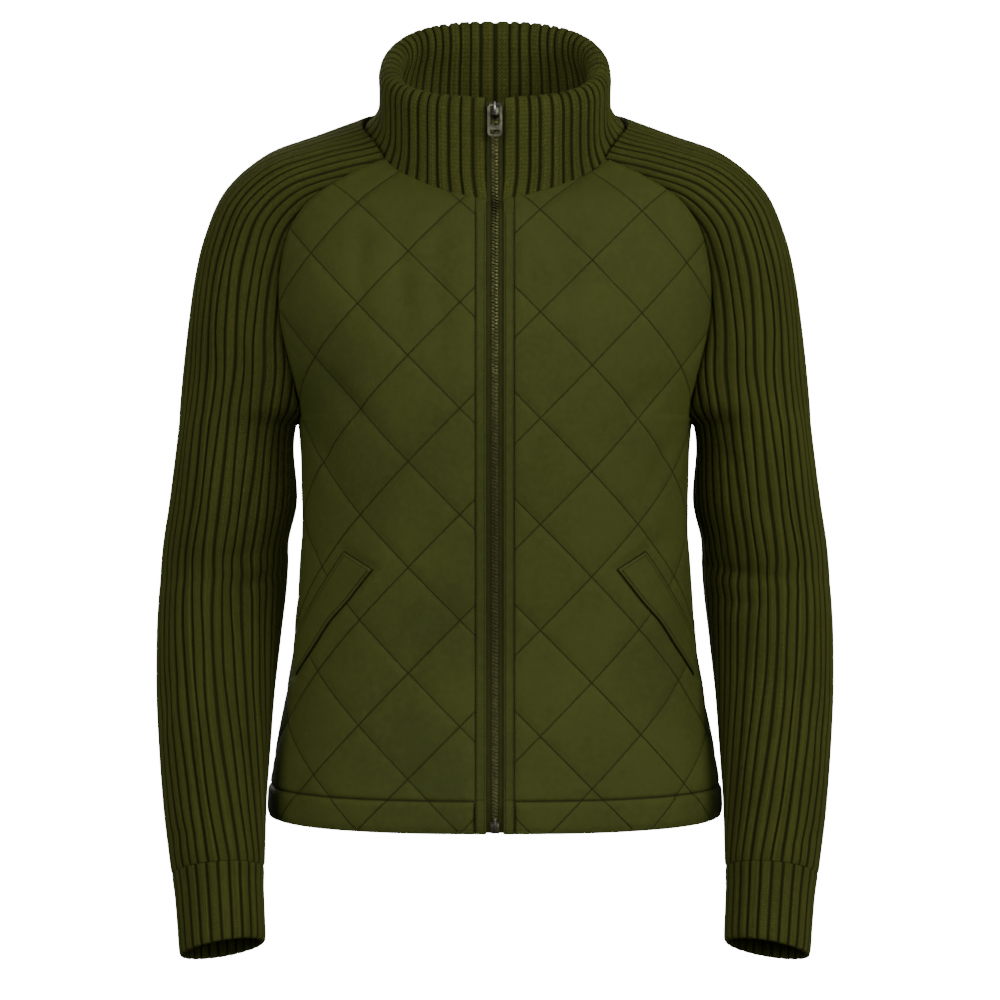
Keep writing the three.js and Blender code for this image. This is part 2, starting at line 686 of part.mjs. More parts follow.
function sleeve() {
  const rings = [...RAGLAN.map(capRing), ...SLEEVE.map(freeRing)];
  const halfColumns = 44;
  const base = ribRows(rings, halfColumns, RIB_PITCH / 2);
  const outer = moved(base, outwardNormals(base, rings), (i, j) => {
    const gathered = Math.abs(j - halfColumns) === halfColumns
      || base[i][j].distanceTo(base[i][0]) < 1e-3;
    return gathered || (j - halfColumns) % 2 !== 0 ? 0 : RIB_HEIGHT;
  });
  outer.forEach((row) => row[row.length - 1].copy(row[0]));
  const innerColumns = 16;
  const sparseRings = rings.filter((_, k) => k % 2 === 0);
  const innerBase = sparseRings.map((ring) => range(0, innerColumns, 1)
    .map((k) => ringPoint(ring, Math.PI + (k / innerColumns) * 2 * Math.PI)));
  innerBase.forEach((row) => row.push(row[0].clone()));
  const inner = moved(innerBase, outwardNormals(innerBase, sparseRings), () => -KNIT_WALL);
  inner.forEach((row) => row[row.length - 1].copy(row[0]));
  const points = [];
  const faces = [];
  const outerId = addGrid(points, faces, outer);
  const innerId = addGrid(points, faces, inner, { flip: true });
  ['top', 'bottom'].forEach((end) => {
    const outerRow = end === 'top' ? 0 : outer.length - 1;
    const innerRow = end === 'top' ? 0 : inner.length - 1;
    const outerLine = range(0, outer[0].length, 1).map((j) => outerId(outerRow, j));
    const innerLine = range(0, inner[0].length, 1).map((j) => innerId(innerRow, j));
    const ends = [];
    bridge(innerLine, outerLine, points, ends);
    ends.forEach((face) => faces.push(end === 'top' ? face : face.reverse()));
  });
  const tube = toManifold(points, faces);
  return largestPiece(tube
    .subtract(neckPrism(SEAM_GAP / 2))
    .subtract(prismAlongY(sleeveCutRegion('front'), -FAR.y, 0))
    .subtract(prismAlongY(sleeveCutRegion('back'), -0.01, FAR.y)));
}

// Cuffs: a closed ribbed tube, its edge turned over at the opening
function cuff() {
  const columns = CUFF_RIBS * 2;
  const grid = CUFF_PROFILE.map((row) => {
    const ring = freeRing(CUFF[row.ring]);
    return range(0, columns, 1).map((j) => {
      const turn = (j / columns) * 2 * Math.PI;
      const grow = -row.inset + (j % 2 === 0 ? RIB_HEIGHT * row.ribs : 0);
      const point = ringPoint(ring, turn);
      const away = point.clone().sub(ring.centre).normalize();
      return point.addScaledVector(away, grow);
    });
  });
  const points = [];
  const faces = [];
  addGrid(points, faces, grid, { closed: { rows: true, columns: true } });
  return toManifold(points, faces);
}

// Collar: a funnel of rib knit with a thick rolled rim, open at the centre front
function ellipsePlace(turn, centreY, halfWidth, front, back) {
  const reach = Math.cos(turn) > 0 ? back : front;
  return new THREE.Vector3(
    halfWidth * Math.sin(turn),
    centreY + reach * Math.cos(turn),
    0,
  );
}

function collarPoint(turn, row) {
  const degrees = Math.abs(THREE.MathUtils.radToDeg(turn));
  const seam = ellipsePlace(turn, NECK.y, NECK.halfWidth, NECK.front, NECK.back);
  const { y, halfWidth, depth, power } = COLLAR_RIM;
  const signed = (value, exponent) => Math.sign(value) * Math.abs(value) ** exponent;
  const across = signed(Math.sin(turn), 2 / power);
  const back = signed(Math.cos(turn), 2 / power);
  const rim = new THREE.Vector3(halfWidth * across, y + depth * back, 0);
  const seamZ = smoothValue(COLLAR_SEAM, 'turn', 'z', degrees);
  const rimZ = COLLAR_RIM.z + COLLAR_RIM.tilt * back;
  const point = seam.lerp(rim, row.reach);
  const away = new THREE.Vector3(
    signed(across, power - 1) / halfWidth, signed(back, power - 1) / depth, 0,
  ).normalize();
  point.addScaledVector(away, -row.inset);
  point.z = seamZ + row.rise * (rimZ - seamZ);
  return point;
}

function collarTurns(count) {
  const share = STRIP_INNER_X / COLLAR_RIM.halfWidth;
  const edge = Math.PI - Math.asin(share ** (COLLAR_RIM.power / 2));
  const steps = 240;
  const middleRow = { reach: 0.5, rise: 0.5, inset: 0 };
  const pairs = [{ place: -edge, length: 0 }];
  let before = collarPoint(-edge, middleRow);
  for (let k = 1; k <= steps; k += 1) {
    const turn = -edge + (k / steps) * 2 * edge;
    const point = collarPoint(turn, middleRow);
    pairs.push({ place: turn, length: pairs[k - 1].length + point.distanceTo(before) });
    before = point;
  }
  const full = pairs[steps].length;
  return range(0, count + 1, 1).map((k) => lookUp(pairs, (k / count) * full));
}

function collar() {
  const turns = collarTurns(COLLAR_RIBS * 2);
  const lastColumn = turns.length - 1;
  const base = COLLAR_PROFILE.map((row) => turns.map((turn, j) => {
    const point = collarPoint(turn, row);
    if (j === 0 || j === lastColumn) point.x = Math.sign(point.x) * (STRIP_INNER_X + SEAM_GAP);
    return point;
  }));
  const normals = gridNormals(base, { rows: true });
  const centre = new THREE.Vector3(0, COLLAR_RIM.y, 0);
  const sample = base[2][Math.floor(lastColumn / 4)].clone().sub(centre);
  const turnOut = normals[2][Math.floor(lastColumn / 4)].dot(sample) > 0 ? 1 : -1;
  const grid = moved(base, normals, (i, j) => (
    j % 2 === 0 ? 0 : turnOut * RIB_HEIGHT * COLLAR_PROFILE[i].ribs));
  const points = [];
  const faces = [];
  const id = addGrid(points, faces, grid, { closed: { rows: true } });
  const lastRow = grid.length - 1;
  for (let i = 0; i < grid.length / 2 - 1; i += 1) {
    [0, lastColumn].forEach((j) => {
      const loop = [id(i, j), id(i + 1, j), id(lastRow - i - 1, j), id(lastRow - i, j)];
      if (j !== 0) loop.reverse();
      faces.push([loop[0], loop[1], loop[2]], [loop[0], loop[2], loop[3]]);
    });
  }
  return toManifold(points, faces);
}

// Plain woven strips beside the zip
function strip() {
  const rows = [
    ...range(60, -HEM_LINE_Z - 12, 24).map((drop) => ({ z: -drop, lift: 0.5 })),
    { z: HEM_LINE_Z, lift: 0.3 },
    { z: HEM_LINE_Z - 5, lift: HEM_BULGE },
    { z: HEM_BOTTOM_Z + 4, lift: HEM_BULGE },
    { z: HEM_BOTTOM_Z, lift: 0.8 },
  ];
  const columns = [STRIP_INNER_X, (STRIP_INNER_X + STRIP_OUTER_X) / 2, STRIP_OUTER_X];
  const face = (offset) => rows.map((row) => columns.map((x) => (
    new THREE.Vector3(x, torsoY('front', x, row.z) - offset(row), row.z))));
  const outer = face((row) => row.lift);
  const inner = face(() => -PANEL_WALL);
  return wall(outer, inner, null).subtract(neckPrism(SEAM_GAP / 2));
}

// Welts of the slanted pockets, on the panel's own points moved out
function pocket() {
  const sides = [0, 0.33, 0.67, 1];
  const face = (offset) => POCKET.map((row) => sides.map((share) => {
    const x = THREE.MathUtils.lerp(row.openX, row.sideX, share);
    const z = THREE.MathUtils.lerp(row.openZ, row.sideZ, share);
    const step = 1;
    const point = new THREE.Vector3(x, torsoY('front', x, z), z);
    const across = new THREE.Vector3(x - step, torsoY('front', x - step, z), z).sub(point);
    const down = new THREE.Vector3(x, torsoY('front', x, z - step), z - step).sub(point);
    const normal = across.cross(down).normalize();
    if (normal.y > 0) normal.negate();
    return point.addScaledVector(normal, offset);
  }));
  return wall(face(POCKET_LIFT + POCKET_THICKNESS), face(POCKET_LIFT), null);
}

// Centre front line of the zip, from the hem up the panel and the collar
function zipLine(fromZ, toZ) {
  const seamY = NECK.y - NECK.front;
  const seamZ = COLLAR_SEAM[COLLAR_SEAM.length - 1].z;
  const rimY = COLLAR_RIM.y - COLLAR_RIM.depth;
  const rise = COLLAR_RIM.z - COLLAR_RIM.tilt - seamZ;
  const line = [];
  for (let drop = -fromZ; drop > -seamZ + 6; drop -= 34) {
    line.push({ y: torsoY('front', 0, -drop), z: -drop });
  }
  COLLAR_PROFILE.slice(0, 4).forEach((row) => {
    const z = seamZ + row.rise * rise;
    if (z < toZ - 2) line.push({ y: seamY + row.reach * (rimY - seamY), z });
  });
  line.push({ y: rimY, z: toZ });
  return line;
}

// A band of even thickness along the zip line
function zipBand(line, fromX, toX, proud, thickness) {
  const points = [];
  const faces = [];
  const rows = line.map((place, k) => {
    const before = line[Math.max(k - 1, 0)];
    const after = line[Math.min(k + 1, line.length - 1)];
    const along = new THREE.Vector2(after.y - before.y, after.z - before.z).normalize();
    const out = new THREE.Vector2(-along.y, along.x);
    if (out.x > 0) out.negate();
    const at = (x, offset) => (
      new THREE.Vector3(x, place.y + out.x * offset, place.z + out.y * offset));
    return [at(fromX, proud), at(toX, proud), at(toX, proud - thickness),
      at(fromX, proud - thickness)];
  });
  const id = addGrid(points, faces, rows, { closed: { columns: true } });
  const last = rows.length - 1;
  faces.push([id(0, 0), id(0, 3), id(0, 2)], [id(0, 0), id(0, 2), id(0, 1)]);
  faces.push([id(last, 0), id(last, 1), id(last, 2)], [id(last, 0), id(last, 2), id(last, 3)]);
  return toManifold(points, faces);
}

// Zip hardware

function block(width, depth, height, x, y, z) {
  const geometry = new THREE.BoxGeometry(width, depth, height);
  geometry.translate(x, y, z);
  return fromGeometry(geometry);
}

function slider() {
  const front = block(
    SLIDER.plateWidth, SLIDER.plateThickness, SLIDER.height,
    0, PLATE_FRONT_Y + SLIDER.plateThickness / 2, SLIDER.z,
  );
  const core = block(2 * CHAIN_HALF_WIDTH - 0.3, 6, SLIDER.height - 1, 0, SLIDER.y + 0.8, SLIDER.z);
  const back = block(
    SLIDER.plateWidth, SLIDER.plateThickness, SLIDER.height, 0, SLIDER.y + 3.9, SLIDER.z,
  );
  const bailHeight = BAIL.topZ - BAIL.lowZ;
  const bailZ = (BAIL.topZ + BAIL.lowZ) / 2;
  const bailY = PLATE_FRONT_Y - BAIL.reach / 2;
  const bail = block(BAIL.width, BAIL.reach + 0.4, bailHeight, 0, bailY + 0.2, bailZ)
    .subtract(block(
      BAIL.width + 2, BAIL.reach - BAIL.wire, bailHeight - 2 * BAIL.wire,
      0, PLATE_FRONT_Y - (BAIL.reach - BAIL.wire) / 2, bailZ,
    ));
  return front.add(core).add(back).add(bail);
}

// Pull tab: a ladder of two openings, the upper one round the slider's bail
function pullTab() {
  const top = PULL_PIVOT.z + PULL.bar / 2;
  const low = top - PULL.length;
  const half = PULL.width / 2;
  const { corner } = PULL;
  const outline = new THREE.Shape();
  outline.moveTo(-half + corner, low);
  outline.lineTo(half - corner, low);
  outline.quadraticCurveTo(half, low, half, low + corner);
  outline.lineTo(half, top - corner);
  outline.quadraticCurveTo(half, top, half - corner, top);
  outline.lineTo(-half + corner, top);
  outline.quadraticCurveTo(-half, top, -half, top - corner);
  outline.lineTo(-half, low + corner);
  outline.quadraticCurveTo(-half, low, -half + corner, low);
  const opening = (fromZ, toZ) => {
    const hole = new THREE.Path();
    const inside = half - PULL.side;
    hole.moveTo(-inside, fromZ);
    hole.lineTo(-inside, toZ);
    hole.lineTo(inside, toZ);
    hole.lineTo(inside, fromZ);
    hole.closePath();
    return hole;
  };
  const middleTop = top - 17;
  outline.holes.push(opening(middleTop, top - PULL.bar));
  outline.holes.push(opening(low + 2.6, middleTop - 4.2));
  const geometry = new THREE.ExtrudeGeometry(outline, {
    depth: PULL.thickness, bevelEnabled: false, curveSegments: 3,
  });
  geometry.rotateX(Math.PI / 2);
  geometry.translate(0, PULL_PIVOT.y + PULL.thickness / 2, 0);
  return fromGeometry(geometry);
}

// Finishes
const FINISH = {
  panel: { color: 0x41431e, roughness: 0.62, metalness: 0 },
  knit: { color: 0x31330f, roughness: 0.9, metalness: 0 },
  strip: { color: 0x383b17, roughness: 0.65, metalness: 0 },
  tape: { color: 0x2b2d12, roughness: 0.85, metalness: 0 },
  brass: { color: 0x5b4a2c, roughness: 0.4, metalness: 0.9 },
};

const jacket = new THREE.Group();

function addPiece(name, solid, finish) {
  const mesh = new THREE.Mesh(toGeometry(solid), new THREE.MeshStandardMaterial(FINISH[finish]));
  mesh.name = name;
  jacket.add(mesh);
}

function mirror(solid) {
  return solid.mirror([1, 0, 0]);
}

const zipPath = zipLine(HEM_BOTTOM_Z + 3, COLLAR_RIM.z - COLLAR_RIM.tilt + 1);
const chainPath = zipLine(CHAIN.lowZ, CHAIN.topZ);
const tape = zipBand(
  zipPath, TAPE_INNER_X, STRIP_INNER_X - SEAM_GAP, TAPE.proud, TAPE.thickness,
);
const retainerY = torsoY('front', 0, CHAIN.lowZ) + CHAIN.thickness / 2 - CHAIN.proud;

const leftSleeve = sleeve();
const leftCuff = cuff();
const leftStrip = strip();
const leftPocket = pocket();

addPiece('front_left', panel('front', LATTICE.left, STRIP_OUTER_X + SEAM_GAP), 'panel');
addPiece('front_right', mirror(panel('front', LATTICE.right, STRIP_OUTER_X + SEAM_GAP)), 'panel');
addPiece('back', panel('back', LATTICE.back, null), 'panel');
addPiece('sleeve_left', leftSleeve, 'knit');
addPiece('sleeve_right', mirror(leftSleeve), 'knit');
addPiece('cuff_left', leftCuff, 'knit');
addPiece('cuff_right', mirror(leftCuff), 'knit');
addPiece('collar', collar(), 'knit');
addPiece('zip_strip_left', leftStrip, 'strip');
addPiece('zip_strip_right', mirror(leftStrip), 'strip');
addPiece('pocket_welt_left', leftPocket, 'panel');
addPiece('pocket_welt_right', mirror(leftPocket), 'panel');
addPiece('zip_tape_left', tape, 'tape');
addPiece('zip_tape_right', mirror(tape), 'tape');
addPiece('zip_chain', zipBand(
  chainPath, -CHAIN_HALF_WIDTH, CHAIN_HALF_WIDTH, CHAIN.proud, CHAIN.thickness,
), 'brass');
addPiece('zip_retainer', block(
  RETAINER.width, RETAINER.depth, RETAINER.height,
  0, retainerY, CHAIN.lowZ - SEAM_GAP - RETAINER.height / 2,
), 'brass');
addPiece('zip_slider', slider(), 'brass');
addPiece('zip_pull', pullTab(), 'brass');

export default jacket;
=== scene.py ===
"""Quilted zip jacket with rib-knit sleeves, collar and cuffs, filled out as it hangs when worn.

The tables of the cut are in millimetres and the meshes in metres. +Z is up and the front faces -Y.
"""

import functools
import math

import bmesh
import bpy
import numpy as np
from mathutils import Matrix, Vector


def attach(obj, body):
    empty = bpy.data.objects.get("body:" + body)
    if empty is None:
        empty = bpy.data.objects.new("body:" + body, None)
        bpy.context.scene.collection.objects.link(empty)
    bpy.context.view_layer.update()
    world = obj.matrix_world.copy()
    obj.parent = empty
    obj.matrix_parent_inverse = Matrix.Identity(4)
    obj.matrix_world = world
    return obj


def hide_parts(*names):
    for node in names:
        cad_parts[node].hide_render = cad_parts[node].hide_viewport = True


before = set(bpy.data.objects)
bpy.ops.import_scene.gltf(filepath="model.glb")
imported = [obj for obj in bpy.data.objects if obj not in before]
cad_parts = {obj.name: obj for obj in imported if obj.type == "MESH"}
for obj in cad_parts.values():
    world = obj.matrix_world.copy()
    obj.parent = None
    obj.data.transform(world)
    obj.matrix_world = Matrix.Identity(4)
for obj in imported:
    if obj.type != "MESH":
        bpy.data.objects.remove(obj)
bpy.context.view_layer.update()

bl_info = {
    "name": "Quilted Zip Jacket",
    "version": (1, 0, 0),
    "blender": (4, 5, 0),
    "location": "View3D > Sidebar > Jacket",
    "description": "Builds a quilted zip jacket with rib-knit sleeves, collar and cuffs",
    "category": "Add Mesh",
}

MM = 0.001
BODY_CLOTH = "jacket"
BODY_PULL = "pull_tab"

# Cut of the jacket, in millimetres

SECTION_POWER = 2.3
HEM_LINE_Z = -566
HEM_SEAM_Z = -566.2
HEM_BOTTOM_Z = -593
HEM_ROWS = (
    -562.6, -564.2, -565.2, -566, -566.8, -568, -570, -573, -577, -582, -586, -589.5, -591.6, HEM_BOTTOM_Z,
)
HEM_SIDE_LIFT = 9
UNDERARM_Z = -251
UNDER_SLEEVE_Z = -360
STRIP_INNER_X = 7
STRIP_OUTER_X = 16.5
SEAM_GAP = 0.3
NECK_Y = -10
NECK_HALF = 112
NECK_FRONT = 90
NECK_BACK = 85

# Torso sections: drop below the shoulder neck point, half width, front depth, back depth
BODY_COLUMNS = ("drop", "half", "front", "back")
BODY_ROWS = (
    (-30, 196, 22, 34),
    (-9, 197, 36, 62),
    (-2, 197, 41, 75),
    (15, 197, 51, 88),
    (37, 198, 68, 97),
    (72, 198, 100, 105),
    (110, 198, 113, 110),
    (160, 196, 122, 113),
    (205, 184, 126, 112),
    (250, 168, 126, 107),
    (310, 164, 121, 97),
    (371, 164, 115, 88),
    (439, 170, 111, 88),
    (490, 177, 112, 95),
    (541, 186, 116, 105),
    (575, 190, 119, 112),
    (610, 190, 119, 114),
)

# Raglan rows: front seam, shoulder line and back seam in the front view, half angle of the ring
RAGLAN_COLUMNS = ("front_x", "front_z", "top_x", "top_z", "back_x", "back_z", "spread")
RAGLAN_ROWS = (
    (82, -28, 94, 8, 48, 12, 74),
    (96, -37, 113, 1, 62, 8, 74),
    (124.5, -51, 150, -12, 96, -12, 78),
    (153, -70, 193, -28, 130, -38, 86),
    (171, -95, 226, -57, 153, -72, 98),
    (178.5, -124, 243, -94, 165, -108, 105),
    (180.5, -150, 252, -130, 171, -142, 109),
    (177, -183, 258, -170, 171.5, -176, 114),
    (169, -215, 263, -210, 168, -211, 119),
    (163.5, -243, 266, -244, 163.5, -243, 138),
)

# Rings below the underarm: centre, half width, half depth, degrees forward and degrees down outside
SLEEVE_ROWS = (
    (218.5, 0, -256, 48, 58, 0, 0),
    (223, 5, -322, 52.4, 58, -2, 0),
    (229, 8, -354, 51.4, 57, 0, 0),
    (230.5, 10, -376, 52.2, 57, 5, 0),
    (231.4, 9, -392, 52.2, 55.6, 9, 0),
    (232.6, 5, -408, 52, 55, 14, 0),
    (234.5, -3, -436, 50.8, 53, 17, 0),
    (236, -23, -495, 47.4, 48.6, 18, 1),
    (234, -49, -572, 41.6, 42, 18, 3),
    (230, -68, -628, 37, 38, 18, 5.5),
)
CUFF_ROWS = (
    (229.9, -68.2, -628.5, 36.8, 37.8, 18, 5.5),
    (228.6, -73, -643, 35.4, 36, 18, 6.5),
    (226.5, -81, -666, 35, 35.4, 18, 8.5),
    (224.5, -89, -690, 34.6, 35, 18, 10.5),
)

# Cuff profile: ring, distance in from the outer face, share of the ribs
CUFF_PROFILE = (
    (0, 0, 0.8),
    (0.4, 0, 1),
    (1, 0, 1),
    (2, 0.2, 1),
    (2.8, 0.2, 1),
    (3.0, 1.4, 1),
    (3.02, 3.4, 0.8),
    (2.85, 4.6, 0.7),
    (2, 4.2, 0.5),
    (1, 3.8, 0.3),
    (0, 3.4, 0),
)

# Collar seam height, by degrees from the centre back to the centre front
COLLAR_SEAM = (
    (0, -2),
    (34, 3),
    (55, 2),
    (90, -4),
    (121, -40),
    (136, -55),
    (149, -65),
    (162, -72),
    (180, -75),
)
RIM_Y = -12
RIM_HALF = 96
RIM_DEPTH = 83
RIM_Z = 47
RIM_TILT = 41
RIM_POWER = 2.5

# Collar profile: reach in plan from seam to rim, rise in height, distance in, share of the ribs
COLLAR_PROFILE = (
    (0, -0.02, 1.4, 0.3),
    (0.3, 0.03, 0.4, 1),
    (0.6, 0.12, 0.4, 1),
    (0.95, 0.3, 0, 1),
    (1, 0.6, 0, 1),
    (1, 0.86, -0.5, 1),
    (1, 0.98, 1.2, 1),
    (1, 1.05, 5, 1),
    (1, 1.06, 9.5, 1),
    (1, 1.0, 14.4, 1),
    (1, 0.9, 16.4, 1),
    (1, 0.78, 15.8, 0.8),
    (1, 0.6, 11.5, 0.5),
    (0.95, 0.34, 8, 0.2),
    (0.6, 0.1, 6, 0),
    (0.2, 0, 5, 0),
)
COLLAR_RIBS = 60
CUFF_RIBS = 25
CUFF_RING_GAP = 22

# Welt pockets in the front view: opening edge and side edge, top to side seam
POCKET_ROWS = (
    (100, -377, 124, -362),
    (111, -391, 134, -377),
    (122, -405, 143, -391),
    (136, -421, 152, -406),
    (149, -441, 161, -423),
    (159, -456, 165, -433),
    (166, -467, 168.3, -441),
)

# Quilting: a crossing beside the centre, its length across and its height
QUILT_START = {"left": (37.2, -340), "right": (28.6, -332), "back": (0, -335)}

# Parts of model.glb that the quilted panels stand in for
PANEL_NODES = {"left": "front_left", "right": "front_right", "back": "back"}

# Creases: from across and height to across and height, half width, depth
PANEL_CREASES = {
    "left": (
        (60, -95, 52, -190, 10, -2.4),
        (96, -80, 100, -165, 9, -2.1),
        (150, -215, 96, -268, 10, -2.2),
        (168, -262, 120, -330, 9, -1.8),
        (190, -360, 130, -352, 10, -1.4),
        (40, -420, 74, -500, 12, -1.2),
        (200, -500, 150, -470, 11, -1.6),
    ),
    "right": (
        (48, -92, 44, -205, 9, -2.6),
        (78, -84, 74, -190, 9, -2.4),
        (110, -78, 114, -172, 9, -2.1),
        (154, -210, 100, -262, 10, -2.2),
        (170, -258, 128, -318, 9, -1.9),
        (192, -372, 140, -356, 10, -1.4),
        (46, -430, 86, -516, 12, -1.3),
    ),
    "back": (
        (-150, -215, -70, -275, 12, -2.4),
        (146, -208, 78, -262, 12, -2.2),
        (-60, -350, 52, -362, 13, -2.0),
        (-100, -395, 30, -404, 12, -1.4),
        (90, -340, 170, -372, 11, -1.6),
        (-20, -70, -26, -190, 12, -1.4),
        (66, -66, 58, -150, 11, -1.2),
    ),
}
SLEEVE_CREASES = {
    "left": (
        (158, -372, 70, -388, 7, -3.2),
        (150, -402, 62, -410, 8, -2.2),
        (-150, -384, -80, -402, 8, -2.4),
        (120, -300, 60, -345, 10, -1.6),
        (60, -470, 20, -540, 10, -1.3),
        (-60, -300, -20, -360, 12, -1.4),
        (20, -596, 74, -612, 7, -1.2),
        (130, -268, 84, -306, 9, -1.5),
    ),
    "right": (
        (156, -380, 84, -396, 7, -2.4),
        (150, -362, 60, -372, 8, -1.8),
        (-152, -378, -86, -394, 8, -2.6),
        (118, -310, 70, -352, 10, -1.5),
        (54, -450, 14, -520, 10, -1.5),
        (-64, -310, -30, -372, 12, -1.2),
        (10, -602, 60, -590, 7, -1.3),
    ),
}


# Sizes and colours


class JacketSizes(bpy.types.PropertyGroup):
    """Sizes of the jacket's finish."""

    quilt_width: bpy.props.FloatProperty(
        name="Quilt Width", description="Width of one quilted diamond", default=0.086, unit="LENGTH"
    )
    quilt_height: bpy.props.FloatProperty(
        name="Quilt Height", description="Height of one quilted diamond", default=0.087, unit="LENGTH"
    )
    quilt_puff: bpy.props.FloatProperty(
        name="Quilt Puff", description="Height of the padding", default=0.0018, unit="LENGTH"
    )
    panel_wall: bpy.props.FloatProperty(
        name="Panel Wall", description="Thickness of the body cloth", default=0.0024, unit="LENGTH"
    )
    knit_wall: bpy.props.FloatProperty(
        name="Knit Wall", description="Thickness of the knit", default=0.0026, unit="LENGTH"
    )
    rib_pitch: bpy.props.FloatProperty(
        name="Rib Pitch", description="Distance between the knit's grooves", default=0.0084, unit="LENGTH"
    )
    rib_height: bpy.props.FloatProperty(
        name="Rib Height", description="Depth of the knit's grooves", default=0.0021, unit="LENGTH"
    )
    stitch_pitch: bpy.props.FloatProperty(
        name="Stitch Pitch", description="Distance between sewing stitches", default=0.0032, unit="LENGTH"
    )
    tooth_pitch: bpy.props.FloatProperty(
        name="Tooth Pitch", description="Distance between a side's zip teeth", default=0.0029, unit="LENGTH"
    )


class JacketColours(bpy.types.PropertyGroup):
    """Colours of the jacket's cloth and metal."""

    panel: bpy.props.FloatVectorProperty(
        name="Panel", description="Quilted cloth", default=(0.0545, 0.0655, 0.0118), subtype="COLOR", size=3
    )
    knit: bpy.props.FloatVectorProperty(
        name="Knit", description="Rib knit", default=(0.065, 0.0730, 0.0138), subtype="COLOR", size=3
    )
    strip: bpy.props.FloatVectorProperty(
        name="Strip", description="Woven strips beside the zip", default=(0.0485, 0.0585, 0.0103),
        subtype="COLOR", size=3
    )
    tape: bpy.props.FloatVectorProperty(
        name="Tape", description="Zip tape", default=(0.035, 0.0395, 0.0090), subtype="COLOR", size=3
    )
    thread: bpy.props.FloatVectorProperty(
        name="Thread", description="Sewing thread", default=(0.022, 0.026, 0.006), subtype="COLOR", size=3
    )
    brass: bpy.props.FloatVectorProperty(
        name="Brass", description="Antique brass teeth", default=(0.066, 0.067, 0.023),
        subtype="COLOR", size=3
    )
    polished: bpy.props.FloatVectorProperty(
        name="Polished", description="Slider's loop, worn bright", default=(0.62, 0.60, 0.52),
        subtype="COLOR", size=3
    )
    gunmetal: bpy.props.FloatVectorProperty(
        name="Gunmetal", description="Slider and pull", default=(0.078, 0.078, 0.052), subtype="COLOR", size=3
    )


def size_mm(name):
    return getattr(bpy.context.scene.jacket_sizes, name) / MM


def colour(name):
    return (*getattr(bpy.context.scene.jacket_colours, name), 1.0)


# Small maths


def smooth(places, values, at):
    """Cubic through table rows, with slopes from the neighbouring rows."""
    places = np.asarray(places, float)
    values = np.asarray(values, float)
    at = np.clip(np.asarray(at, float), places[0], places[-1])
    row = np.clip(np.searchsorted(places, at, side="left") - 1, 0, len(places) - 2)
    before = np.maximum(np.arange(len(places)) - 1, 0)
    after = np.minimum(np.arange(len(places)) + 1, len(places) - 1)
    extra = (1,) * (values.ndim - 1)
    run = (places[after] - places[before]).reshape((-1,) + extra)
    slope = (values[after] - values[before]) / run
    span = places[row + 1] - places[row]
    t = (at - places[row]) / span
    t, span = t.reshape(t.shape + extra), span.reshape(span.shape + extra)
    square, cube = t * t, t * t * t
    return (
        (2 * cube - 3 * square + 1) * values[row]
        + (cube - 2 * square + t) * span * slope[row]
        + (3 * square - 2 * cube) * values[row + 1]
        + (cube - square) * span * slope[row + 1]
    )


def column(rows, names, name):
    return np.array([row[names.index(name)] for row in rows], float)


def smoothstep(low, high, value):
    t = np.clip((np.asarray(value, float) - low) / (high - low), 0, 1)
    return t * t * (3 - 2 * t)


def unit(vectors):
    return vectors / np.maximum(np.linalg.norm(vectors, axis=-1, keepdims=True), 1e-9)


def run_flat(x, y):
    """Lengths along a line in a plane, from its start."""
    return np.concatenate(([0], np.cumsum(np.hypot(np.diff(x), np.diff(y)))))


def run_along(points):
    """Lengths along a line of points, from its start."""
    return np.concatenate(([0], np.cumsum(np.linalg.norm(np.diff(points, axis=0), axis=1))))


def every(count, step):
    """Each step-th index below a count, and the last one."""
    return np.unique(np.append(np.arange(0, count, step), count - 1))


def crease_field(across, height, creases):
    """Depth of soft troughs, each fading to both ends, at places on a flat cloth."""
    total = np.zeros(np.shape(across))
    for x0, y0, x1, y1, width, depth in creases:
        run_x, run_y = x1 - x0, y1 - y0
        t = ((across - x0) * run_x + (height - y0) * run_y) / (run_x * run_x + run_y * run_y)
        t = np.clip(t, 0, 1)
        away = np.hypot(across - x0 - t * run_x, height - y0 - t * run_y)
        fade = 0.25 + 0.75 * np.sin(math.pi * np.clip(t, 0.02, 0.98))
        total += depth * fade * np.exp(-((away / width) ** 2))
    return total


# Torso surface, by length from the centre line and height


def body_value(name, z):
    drops = column(BODY_ROWS, BODY_COLUMNS, "drop")
    return smooth(drops, column(BODY_ROWS, BODY_COLUMNS, name), -np.asarray(z, float))


def torso_y(side, x, z):
    share = np.minimum(np.abs(x) / body_value("half", z), 1)
    y = body_value(side, z) * (1 - share**SECTION_POWER) ** (1 / SECTION_POWER)
    return -y if side == "front" else y


TABLE_TOP = 30.0
TABLE_LOW = -610
TABLE_STEP = 0.5
TABLE_LENGTH = 330.0


def side_of(key):
    return "back" if key == "back" else "front"


